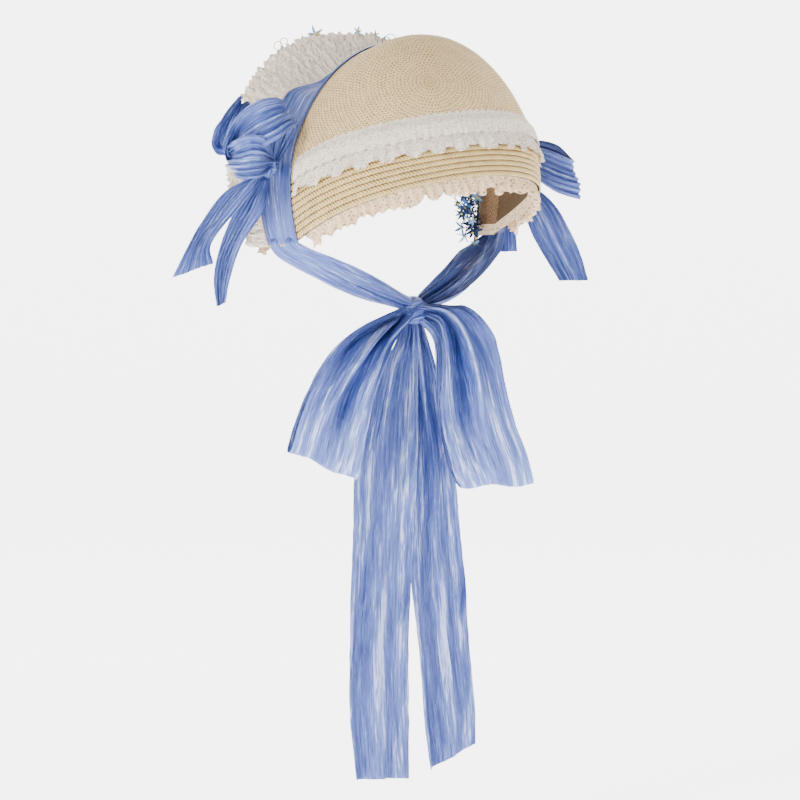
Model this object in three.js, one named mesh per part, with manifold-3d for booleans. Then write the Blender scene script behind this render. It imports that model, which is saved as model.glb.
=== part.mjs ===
// Straw bonnet with a lace-covered front brim, an ear-to-ear ribbon, a bow at each ear
// and a long bow under the chin. Millimetres, +Z up, the face looks along -Y and the
// wearer's left is +X. The origin is inside the top of the crown, where it sits on the head.
import * as THREE from 'three';
import { mergeVertices } from 'three/addons/utils/BufferGeometryUtils.js';
import Module from 'manifold-3d';

const wasm = await Module();
wasm.setup();

// Straw body
const halfWidth = 115; // middle to ear, at the seam of crown and front brim
const backDepth = 130; // that seam to the back of the crown
const crownHeight = 157; // ear level to the top of the seam with the front brim
const strawWall = 2;
const crownFullness = 2.38; // superellipse power of the profile at the back
const crownLift = 0.055; // how much the crown swells up behind the seam, as a share of its height
const earTaper = 0.125; // how much narrower the hat is at ear level, as a share of its width
const earTaperTop = 80; // height from which it has its full width
const lean = 0.055; // sideways lean, as rise per length towards the wearer's right
const neckRise = 46; // lower edge at the back above the ears
const neckPower = 0.9; // how the lower edge rises from ear to back
const seamAtEar = 45; // seam of crown and back brim above ear level
const seamRise = 34; // the same seam at the back, above its height at the ears
const braidRows = 5;
const braidHeight = 0.7; // a braid row over the seams beside it

// Front brim
const brimDepthEar = 38;
const brimDepthTop = 75;
const brimFlareSide = 10;
const brimFlareTop = 8;
const brimFlareShoulder = 9; // more flare halfway between ear and top
const brimFlarePower = 1.5;

// Lace
const laceWall = 1;
const laceStand = 0.4; // clearance of lace to the straw under it
const bandUpperHeight = 18;
const bandLowerDrop = 10;
const bandHidden = 5; // lower tier that runs up under the upper one
const bandScallop = 2; // half the height of the lower tier's wave
const scallopCount = 10;
const bandFlare = 2.4; // how far the lower tier's hem stands off
const frillDrop = 12; // gathered frill below the lower edge
const frillHeader = 9; // the part of the same lace that is sewn inside the edge
const frillWave = 2.6;
const frillCount = 20;
const frillGapFront = 3; // frill flat this far past the ribbon's front edge
const frillGapBack = 5; // and this far behind its rear edge
const ruffleTiers = 3;
const ruffleLap = 1.5; // length of a tier as a multiple of the distance between tiers
const ruffleRise = 0.42; // how a tier stands off, per length
const ruffleWave = 1.8;
const ruffleCount = 14;
const ruffleFull = 9; // distance between tiers from which the waves are full
const ruffleGap = 1; // first tier to the ribbon's front edge

// Ribbon
const ribbonWidth = 58;
const ribbonWall = 1.1;
const bandWidth = 35; // the ribbon over the crown, its edges folded under
const bandForwardEar = 6.5; // middle of the band in front of the seam, at the ears
const bandForwardTop = 17.5;
const touch = 0.3; // clearance between pieces that touch

// Chin bow
const knotSide = -15; // to the wearer's right of the middle
const knotBack = 3;
const knotDrop = 56; // below ear level
const knotWide = 12.5;
const knotTall = 13;
const knotDeep = 12;
const chinTurn = 20; // the bow's face turned from straight back, in degrees
const loopLeftReach = 78;
const loopLeftFall = 126;
const loopRightReach = 71;
const loopRightFall = 144;
const loopDepth = 26; // front layer to back layer
const tailLeftLength = 378;
const tailRightLength = 364;

// Side bows
const bowRibbon = 46;
const bowHeight = 60; // gather above ear level
const bowSpread = 40; // reach of the loops from the gather
const bowTailLength = 112;
const bowCentre = 11;

// Flowers
const flowerCount = 7;
const flowerRadius = 12;
const flowerHeight = 4;
const stemRadius = 1.4;
const flowerSeat = 0.6; // garland's wire off the straw inside
const flowerInset = 7; // garland behind the front edge
const flowerFromEar = 11; // first cluster's place on the arch, in degrees above ear level

const rad = THREE.MathUtils.degToRad;
const lerp = THREE.MathUtils.lerp;
const V = (x, y, z) => new THREE.Vector3(x, y, z);

const material = (color, roughness, metalness = 0) =>
  new THREE.MeshStandardMaterial({ color, roughness, metalness });
const strawPaint = material(0xe0c89c, 0.85);
const braidPaint = material(0xdec68e, 0.8);
const lacePaint = material(0xe2dad0, 0.95);
const ribbonPaint = material(0x6e88c4, 0.35);
const flowerPaint = material(0x3f6ea8, 0.9);

const hat = new THREE.Group();
hat.position.z = strawWall - crownHeight;

function add(name, geometry, paint) {
  const mesh = new THREE.Mesh(geometry, paint);
  mesh.name = name;
  hat.add(mesh);
  return mesh;
}

// Closed solid from triangles: shared corners merged, slivers dropped, faces turned out
function closedSolid(corners) {
  const geometry = new THREE.BufferGeometry();
  geometry.setAttribute('position', new THREE.Float32BufferAttribute(corners, 3));
  const merged = mergeVertices(geometry, 1e-3);
  const place = merged.getAttribute('position');
  const kept = [];
  let volume = 0;
  for (let i = 0; i < merged.index.count; i += 3) {
    const [a, b, c] = [0, 1, 2].map((k) => merged.index.getX(i + k));
    if (a === b || b === c || c === a) continue;
    kept.push(a, b, c);
    const [pa, pb, pc] = [a, b, c].map((k) => V(0, 0, 0).fromBufferAttribute(place, k));
    volume += pa.dot(pb.cross(pc));
  }
  if (volume < 0) {
    for (let i = 0; i < kept.length; i += 3) {
      [kept[i], kept[i + 1]] = [kept[i + 1], kept[i]];
    }
  }
  merged.setIndex(kept);
  return merged;
}

// Wall between an outer and an inner face, each a function of u and v from 0 to 1
function wall(stepsU, stepsV, outer, inner) {
  const corners = [];
  const grid = (face) => {
    const rows = [];
    for (let i = 0; i <= stepsU; i += 1) {
      const row = [];
      for (let j = 0; j <= stepsV; j += 1) row.push(face(i / stepsU, j / stepsV));
      rows.push(row);
    }
    return rows;
  };
  const quad = (a, b, c, d) => {
    for (const p of [a, b, c, a, c, d]) corners.push(p.x, p.y, p.z);
  };
  const out = grid(outer);
  const back = grid(inner);
  for (let i = 0; i < stepsU; i += 1) {
    for (let j = 0; j < stepsV; j += 1) {
      quad(out[i][j], out[i + 1][j], out[i + 1][j + 1], out[i][j + 1]);
      quad(back[i][j], back[i][j + 1], back[i + 1][j + 1], back[i + 1][j]);
    }
    quad(out[i][0], back[i][0], back[i + 1][0], out[i + 1][0]);
    quad(out[i + 1][stepsV], back[i + 1][stepsV], back[i][stepsV], out[i][stepsV]);
  }
  for (let j = 0; j < stepsV; j += 1) {
    quad(out[0][j + 1], back[0][j + 1], back[0][j], out[0][j]);
    quad(out[stepsU][j], back[stepsU][j], back[stepsU][j + 1], out[stepsU][j + 1]);
  }
  return closedSolid(corners);
}

// The straw body's surface behind the seam of crown and front brim. around runs from the
// left ear over the back to the right ear, and offset stands off the outer face.
const fullness = (around) => 2 + (crownFullness - 2) * Math.sin(around) ** 2;

function crownAt(around, height, offset) {
  const power = fullness(around);
  const share = Math.min(Math.max(height, 0) / (crownHeight + offset), 1);
  const reach = (1 - share ** power) ** (1 / power);
  const behind = reach * Math.sin(around);
  return leaned(
    (halfWidth + offset) * reach * Math.cos(around),
    (backDepth + offset) * behind,
    height * (1 + crownLift * swell(behind)),
  );
}

// Swelling of the crown, from 0 at the seam to 1 at its highest and back to 0 at the rear
const swell = (behind) => 14.1 * Math.max(behind, 0) ** 1.5 * (1 - Math.min(behind, 1)) ** 2.5;

const narrowing = (z) => earTaper * Math.max(1 - Math.max(z, 0) / earTaperTop, 0) ** 1.5;
const leaned = (x, y, z) => V(x * (1 - narrowing(z)), y, z - lean * x);

// Height whose steps stay even along the profile: up runs from 0 at level to 1 at the top
function heightUp(around, level, up, offset) {
  const top = crownHeight + offset;
  const power = fullness(around);
  const start = Math.asin((level / top) ** (power / 2));
  return top * Math.sin(lerp(start, Math.PI / 2, up)) ** (2 / power);
}

const edgeHeight = (around) => neckRise * Math.max(Math.sin(around), 0) ** neckPower;
const seamHeight = (around) => seamAtEar + seamRise * Math.sin(around);

// The front brim. over runs from the left ear over the top to the right ear, and forward
// is the distance in front of the seam.
const brimDepth = (over) => lerp(brimDepthEar, brimDepthTop, Math.sin(over));

function brimAt(over, forward, offset) {
  const share = Math.max(forward, 0) / brimDepth(over);
  const flare = share ** brimFlarePower;
  const shoulder = brimFlareShoulder * Math.abs(Math.sin(2 * over));
  return leaned(
    (halfWidth + (brimFlareSide + shoulder) * flare + offset) * Math.cos(over),
    -forward,
    (crownHeight + (brimFlareTop + shoulder) * flare + offset) * Math.sin(over),
  );
}

const seamGap = touch / 2;
add(
  'crown',
  wall(
    24,
    9,
    (u, v) => crownShell(u, v, 0),
    (u, v) => crownShell(u, v, -strawWall),
  ),
  strawPaint,
);

function crownShell(u, v, offset) {
  const around = Math.PI * u;
  const level = seamHeight(around) + seamGap;
  const height = heightUp(around, level, v, offset);
  const point = crownAt(around, height, offset);
  point.y += seamGap;
  return point;
}

add(
  'back_brim',
  wall(
    24,
    2 * braidRows,
    (u, v) => neckShell(u, v, braidHeight * Math.abs(Math.sin(v * braidRows * Math.PI)) - braidHeight),
    (u, v) => neckShell(u, v, -strawWall),
  ),
  braidPaint,
);

function neckShell(u, v, offset) {
  const around = Math.PI * u;
  const height = lerp(edgeHeight(around), seamHeight(around) - seamGap, v);
  const point = crownAt(around, height, offset);
  point.y += seamGap;
  return point;
}

add(
  'front_brim',
  wall(
    24,
    3,
    (u, v) => brimAt(Math.PI * u, lerp(seamGap, brimDepth(Math.PI * u), v), 0),
    (u, v) => brimAt(Math.PI * u, lerp(seamGap, brimDepth(Math.PI * u), v), -strawWall),
  ),
  strawPaint,
);

// Ribbon over the crown. It lies on the brim in front of the seam and on the crown behind.
const bandMiddle = (over) => lerp(bandForwardEar, bandForwardTop, Math.sin(over));
const bandFront = (over) => bandMiddle(over) + bandWidth / 2;
const bandBack = (over) => bandMiddle(over) - bandWidth / 2;
const bandStand = 0.6;
const bandFoot = rad(0.5); // how far above ear level the band hands over to the ties

add(
  'ribbon_band',
  wall(
    24,
    2,
    (u, v) => bandShell(u, v, bandStand + ribbonWall),
    (u, v) => bandShell(u, v, bandStand),
  ),
  ribbonPaint,
);

function bandShell(u, v, offset) {
  const over = lerp(bandFoot, Math.PI - bandFoot, u);
  return brimAt(over, lerp(bandBack(over), bandFront(over), v), offset);
}

// Two tiers of lace over the seam at the back, from one side of the ribbon to the other
const laceEndGap = 1.5;
const laceStart = Math.asin((laceEndGap - bandBack(0)) / (backDepth * 0.92));
const laceAround = (u) => lerp(laceStart, Math.PI - laceStart, u);
const upperStand = laceStand + laceWall + 3 * touch;

add(
  'lace_band_upper',
  wall(
    26,
    2,
    (u, v) => upperTier(u, v, laceWall),
    (u, v) => upperTier(u, v, 0),
  ),
  lacePaint,
);

function upperTier(u, v, thick) {
  const around = laceAround(u);
  const height = seamHeight(around) + lerp(1, bandUpperHeight, v);
  const stand = v < 0.75 ? upperStand : laceStand;
  return crownAt(around, height, stand + thick);
}

const lowerTierSteps = 40;
add(
  'lace_band_lower',
  wall(
    lowerTierSteps,
    2,
    (u, v) => lowerTier(u, v, laceWall),
    (u, v) => lowerTier(u, v, 0),
  ),
  lacePaint,
);

function lowerTier(u, v, thick) {
  const around = laceAround(u);
  const hem = Math.min(1, 2 - 2 * v);
  const wave = Math.sin(u * scallopCount * 2 * Math.PI) * hem;
  const height = seamHeight(around) + lerp(-bandLowerDrop, bandHidden, v) + wave * bandScallop * (1 - v);
  const stand = laceStand + bandFlare * (1 - v) * (1 - v) * (1 + 0.4 * wave);
  return crownAt(around, height, stand + thick);
}

// Lace inside the lower edge, from the brim's front corner round the back to the other.
// round runs through three stretches: left corner to ear, ear to ear, ear to right corner.
const cornerShare = 0.1; // of the lace's steps, on each front stretch
const fromCorner = (round) => Math.min(round, 1 - round) / cornerShare;
const aroundBack = (round) => (Math.PI * (round - cornerShare)) / (1 - 2 * cornerShare);

function edgeAt(round, height, offset) {
  if (fromCorner(round) < 1) {
    const over = Math.asin(Math.max(height, 0) / crownHeight);
    const forward = brimDepthEar * (1 - fromCorner(round));
    const foot = brimAt(round < 0.5 ? over : Math.PI - over, forward, offset);
    foot.z += Math.min(height, 0);
    return foot;
  }
  const around = aroundBack(round);
  return crownAt(around, edgeHeight(around) + height, offset);
}

// The frill is pressed flat where the ribbon passes, and full everywhere else
const frillEase = 10;
const edgeLaceSteps = 60;
function frillShare(round) {
  if (fromCorner(round) < 1) {
    const forward = brimDepthEar * (1 - fromCorner(round));
    const start = bandFront(0) + frillGapFront;
    return THREE.MathUtils.smoothstep(forward, start, start + frillEase);
  }
  const behind = backDepth * Math.sin(aroundBack(round));
  const start = frillGapBack - bandBack(0);
  return THREE.MathUtils.smoothstep(behind, start, start + frillEase);
}

add(
  'edge_lace',
  wall(
    edgeLaceSteps,
    2,
    (u, v) => edgeLace(u, v, 0),
    (u, v) => edgeLace(u, v, -laceWall),
  ),
  lacePaint,
);

function edgeLace(u, v, thick) {
  const full = frillShare(u);
  const height = v < 0.5
    ? lerp(-frillDrop * full, -touch, v * 2)
    : lerp(-touch, frillHeader, v * 2 - 1);
  const below = Math.max(0, 1 - 2 * v) * full;
  const wave = frillWave * Math.sin(u * frillCount * 2 * Math.PI) * below;
  const inward = strawWall + touch * (1 + 2 * Math.max(0, 2 * v - 1));
  return edgeAt(u, height + 0.5 * wave * below, wave - inward + thick);
}

// Gathered lace on the outside of the front brim, in tiers laid like shingles
const ruffleFrom = (over) => bandFront(over) + ruffleGap;
const ruffleSteps = 42;
for (let tier = 0; tier < ruffleTiers; tier += 1) {
  add(
    `brim_ruffle_${tier + 1}`,
    wall(
      ruffleSteps,
      2,
      (u, v) => brimRuffle(tier, u, v, laceWall),
      (u, v) => brimRuffle(tier, u, v, 0),
    ),
    lacePaint,
  );
}

function brimRuffle(tier, u, v, thick) {
  const over = Math.PI * u;
  const pitch = (brimDepth(over) - ruffleFrom(over)) / ruffleTiers;
  const length = pitch * ruffleLap * v;
  const forward = ruffleFrom(over) + tier * pitch + length;
  const wave = Math.sin(u * ruffleCount * 2 * Math.PI) * ruffleWave * v * Math.min(1, pitch / ruffleFull);
  const stand = laceStand + ruffleRise * length + wave;
  return brimAt(over, forward, stand + thick);
}

// Strip of ribbon through a table of sections. Each row holds the middle (side, up, toward)
// and the half width (sideW, upW, towardW), cup is how far the middle bows out and pleat
// how deep the gathers are.
function strip(rows, axes, size, options = {}) {
  const steps = options.steps ?? 4 * (rows.length - 1);
  const across = options.across ?? 4;
  const columns = ['side', 'up', 'toward', 'sideW', 'upW', 'towardW', 'cup', 'pleat'];
  const curves = Object.fromEntries(
    columns.map((column) => [
      column,
      new THREE.CatmullRomCurve3(
        rows.map((row, i) => V(i, row[column] ?? 0, 0)),
        false,
        'catmullrom',
        0.5,
      ),
    ]),
  );
  const read = (column, t) => curves[column].getPoint(t).y;
  const turn = (side, up, toward) =>
    axes.side.clone().multiplyScalar(side)
      .addScaledVector(axes.up, up)
      .addScaledVector(axes.toward, toward);
  const middle = (t) =>
    turn(read('side', t) * size.side, read('up', t) * size.up, read('toward', t) * size.toward)
      .add(axes.origin);
  const half = (t) =>
    turn(read('sideW', t), read('upW', t), read('towardW', t)).multiplyScalar(size.width / 2);
  const face = (t, v, thick) => {
    const nearby = 1e-3;
    const before = middle(Math.max(t - nearby, 0));
    const after = middle(Math.min(t + nearby, 1));
    const width = half(t);
    const normal = after.sub(before).cross(width).normalize();
    const s = 2 * v - 1;
    const fold = Math.cos(Math.PI * v * across) * read('pleat', t);
    const bow = (1 - s * s) * read('cup', t);
    return middle(t)
      .addScaledVector(width, s)
      .addScaledVector(normal, (fold + bow) * size.width + thick);
  };
  return wall(
    steps,
    across,
    (u, v) => face(u, v, ribbonWall / 2),
    (u, v) => face(u, v, -ribbonWall / 2),
  );
}

// Ties from the ends of the band to the knot. across and down are shares of the way,
// and slack is how much further down the middle of the tie hangs.
const knot = V(knotSide, knotBack, -knotDrop);
const tieRows = [
  { across: 0, down: 0.0, band: 1, side: 0, up: 0, cup: 0 },
  { across: 0.0, down: 0.08, band: 1, side: 0, up: 0, cup: 0 },
  { across: 0.09, down: 0.22, band: 0.5, side: 0.34, up: 0.1, cup: 0 },
  { across: 0.27, down: 0.38, band: 0, side: 0.6, up: 0.22, cup: 0.02 },
  { across: 0.5, down: 0.6, band: 0, side: 0.4, up: 0.32, cup: 0.04 },
  { across: 0.73, down: 0.8, band: 0, side: 0.26, up: 0.3, cup: 0.06 },
  { across: 0.91, down: 0.94, band: 0, side: 0.16, up: 0.22, cup: 0.08 },
  { across: 1, down: 1, band: 0, side: 0.1, up: 0.18, cup: 0.08 },
];

for (const [name, sign, slack] of [['tie_left', 1, 0], ['tie_right', -1, 0.08]]) {
  const over = sign > 0 ? bandFoot : Math.PI - bandFoot;
  const bandRear = brimAt(over, bandBack(over), bandStand + ribbonWall / 2);
  const bandFore = brimAt(over, bandFront(over), bandStand + ribbonWall / 2);
  const start = bandRear.clone().add(bandFore).multiplyScalar(0.5);
  start.z -= touch;
  const end = knot.clone().add(V(sign * knotWide * 0.92, 0, knotTall * 0.6));
  const bandHalf = bandRear.clone().sub(bandFore).divideScalar(ribbonWidth);
  const rows = tieRows.map((row) => ({
    side: lerp(start.x, end.x, row.across),
    toward: lerp(start.y, end.y, row.across),
    up: lerp(start.z, end.z, row.down + slack * Math.sin(Math.PI * row.down)),
    sideW: bandHalf.x * row.band - 0.18 * row.up,
    towardW: bandHalf.y * row.band + row.side,
    upW: bandHalf.z * row.band + sign * row.up,
    cup: row.cup * sign,
  }));
  const axes = { origin: V(0, 0, 0), side: V(1, 0, 0), up: V(0, 0, 1), toward: V(0, 1, 0) };
  const size = { side: 1, up: 1, toward: 1, width: ribbonWidth };
  add(name, strip(rows, axes, size, { steps: 14, across: 3 }), ribbonPaint);
}

// Chin bow: its own axes, turned so that it faces back and a little to the wearer's left
const faceAngle = rad(180 - chinTurn);
const chinAxes = {
  origin: knot,
  side: V(Math.cos(faceAngle), Math.sin(faceAngle), 0),
  up: V(0, 0, 1),
  toward: V(Math.sin(faceAngle), -Math.cos(faceAngle), 0),
};

function pleatedBall(wide, tall, deep, axes, pleats = 6, depth = 0.1) {
  const profile = [];
  const ring = 12;
  const rows = 6;
  const point = (u, v) => {
    const turn = 2 * Math.PI * u;
    const rise = Math.PI * (v - 0.5);
    const groove = 1 - depth * (0.5 + 0.5 * Math.cos(pleats * turn)) * Math.cos(rise);
    return axes.origin.clone()
      .addScaledVector(axes.side, wide * groove * Math.cos(rise) * Math.cos(turn))
      .addScaledVector(axes.toward, deep * groove * Math.cos(rise) * Math.sin(turn))
      .addScaledVector(axes.up, tall * Math.sin(rise));
  };
  for (let i = 0; i < ring; i += 1) {
    for (let j = 0; j < rows; j += 1) {
      const [a, b] = [point(i / ring, j / rows), point(((i + 1) % ring) / ring, j / rows)];
      const [c, d] = [point(((i + 1) % ring) / ring, (j + 1) / rows), point(i / ring, (j + 1) / rows)];
      for (const p of [a, b, c, a, c, d]) profile.push(p.x, p.y, p.z);
    }
  }
  return closedSolid(profile);
}

add('chin_knot', pleatedBall(knotWide, knotTall, knotDeep, chinAxes), ribbonPaint);

// Chin loops: out in the front layer, round the fold and back in the rear layer.
// side and up are shares of the reach and the fall, toward of the depth.
const loopLeftRows = [
  { side: -0.151, up: -0.02, toward: 0.2, sideW: 0.08, upW: -0.14, pleat: 0.07 },
  { side: -0.33, up: -0.12, toward: 0.5, sideW: 0.27, upW: -0.29, pleat: 0.06 },
  { side: -0.51, up: -0.22, toward: 0.72, sideW: 0.45, upW: -0.4, pleat: 0.04, cup: 0.05 },
  { side: -0.66, up: -0.35, toward: 0.82, sideW: 0.59, upW: -0.54, pleat: 0.03, cup: 0.07 },
  { side: -0.8, up: -0.52, toward: 0.8, sideW: 0.78, upW: -0.4, pleat: 0.03, cup: 0.05 },
  { side: -0.9, up: -0.72, toward: 0.7, sideW: 0.9, upW: -0.37, pleat: 0.02, cup: 0.02 },
  { side: -0.97, up: -0.94, toward: 0.48, sideW: 0.94, upW: -0.41, pleat: 0.02 },
  { side: -0.985, up: -0.985, toward: 0.2, sideW: 0.95, upW: -0.41, pleat: 0.02 },
  { side: -0.96, up: -0.93, toward: -0.1, sideW: 0.93, upW: -0.41, pleat: 0.02 },
  { side: -0.85, up: -0.66, toward: -0.24, sideW: 0.8, upW: -0.38, pleat: 0.02 },
  { side: -0.66, up: -0.38, toward: -0.26, sideW: 0.56, upW: -0.44, pleat: 0.03 },
  { side: -0.4, up: -0.16, toward: -0.22, sideW: 0.3, upW: -0.28, pleat: 0.05 },
  { side: -0.156, up: -0.03, toward: -0.13, sideW: 0.08, upW: -0.14, pleat: 0.06 },
];
const loopRightRows = [
  { side: 0.173, up: 0.005, toward: 0.22, sideW: -0.03, upW: -0.18, pleat: 0.07 },
  { side: 0.29, up: -0.02, toward: 0.5, sideW: -0.16, upW: -0.29, pleat: 0.06 },
  { side: 0.4, up: -0.085, toward: 0.72, sideW: -0.36, upW: -0.57, pleat: 0.04, cup: 0.05 },
  { side: 0.49, up: -0.21, toward: 0.84, sideW: -0.59, upW: -0.81, pleat: 0.03, cup: 0.07 },
  { side: 0.56, up: -0.36, toward: 0.84, sideW: -0.82, upW: -0.91, pleat: 0.03, cup: 0.06 },
  { side: 0.64, up: -0.56, toward: 0.8, sideW: -0.89, upW: -0.73, pleat: 0.03, cup: 0.03 },
  { side: 0.75, up: -0.74, toward: 0.7, sideW: -0.96, upW: -0.51, pleat: 0.02, cup: 0.02 },
  { side: 0.88, up: -0.89, toward: 0.54, sideW: -1.06, upW: -0.28, pleat: 0.02 },
  { side: 0.98, up: -0.985, toward: 0.2, sideW: -1.05, upW: -0.03, pleat: 0.02 },
  { side: 0.91, up: -0.92, toward: -0.12, sideW: -1.0, upW: -0.16, pleat: 0.02 },
  { side: 0.74, up: -0.7, toward: -0.24, sideW: -0.84, upW: -0.46, pleat: 0.02 },
  { side: 0.54, up: -0.36, toward: -0.24, sideW: -0.6, upW: -0.66, pleat: 0.03 },
  { side: 0.36, up: -0.1, toward: -0.2, sideW: -0.22, upW: -0.4, pleat: 0.05 },
  { side: 0.182, up: -0.02, toward: -0.14, sideW: -0.04, upW: -0.18, pleat: 0.06 },
];
for (const [name, rows, reach, fall] of [
  ['chin_loop_left', loopLeftRows, loopLeftReach, loopLeftFall],
  ['chin_loop_right', loopRightRows, loopRightReach, loopRightFall],
]) {
  const size = { side: reach, up: fall, toward: loopDepth, width: ribbonWidth };
  add(name, strip(rows, chinAxes, size, { steps: 24, across: 3 }), ribbonPaint);
}

// Chin tails, with side as a share of the ribbon's width and up of the tail's length
const tailLeftRows = [
  { side: -0.06, up: -0.034, toward: -0.06, sideW: 0.18, pleat: 0.06 },
  { side: -0.1, up: -0.075, toward: -0.12, sideW: 0.36, pleat: 0.06 },
  { side: -0.18, up: -0.13, toward: -0.22, sideW: 0.58, pleat: 0.05 },
  { side: -0.32, up: -0.3, toward: -0.26, sideW: 0.88, pleat: 0.035 },
  { side: -0.37, up: -0.47, toward: -0.24, sideW: 0.88, pleat: 0.03 },
  { side: -0.42, up: -0.64, toward: -0.24, sideW: 0.86, pleat: 0.03 },
  { side: -0.43, up: -0.85, toward: -0.24, sideW: 0.86, pleat: 0.03 },
  { side: -0.38, up: -1, toward: -0.24, sideW: 0.76, pleat: 0.04 },
];
const tailRightRows = [
  { side: 0.1, up: -0.032, toward: -0.1, sideW: 0.13, pleat: 0.05 },
  { side: 0.24, up: -0.12, toward: -0.4, sideW: 0.36, pleat: 0.06 },
  { side: 0.4, up: -0.3, toward: -0.5, sideW: 0.56, pleat: 0.05 },
  { side: 0.46, up: -0.5, toward: -0.52, sideW: 0.72, pleat: 0.04 },
  { side: 0.51, up: -0.62, toward: -0.52, sideW: 0.78, pleat: 0.03 },
  { side: 0.6, up: -0.76, toward: -0.52, sideW: 0.76, pleat: 0.03 },
  { side: 0.68, up: -0.9, toward: -0.52, sideW: 0.76, upW: 0.1, pleat: 0.03 },
  { side: 0.73, up: -1, toward: -0.52, sideW: 0.68, upW: 0.34, pleat: 0.03 },
];
for (const [name, rows, length] of [
  ['chin_tail_left', tailLeftRows, tailLeftLength],
  ['chin_tail_right', tailRightRows, tailRightLength],
]) {
  const size = { side: ribbonWidth, up: length, toward: ribbonWidth, width: ribbonWidth };
  add(name, strip(rows, chinAxes, size, { steps: 14, across: 4 }), ribbonPaint);
}

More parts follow.
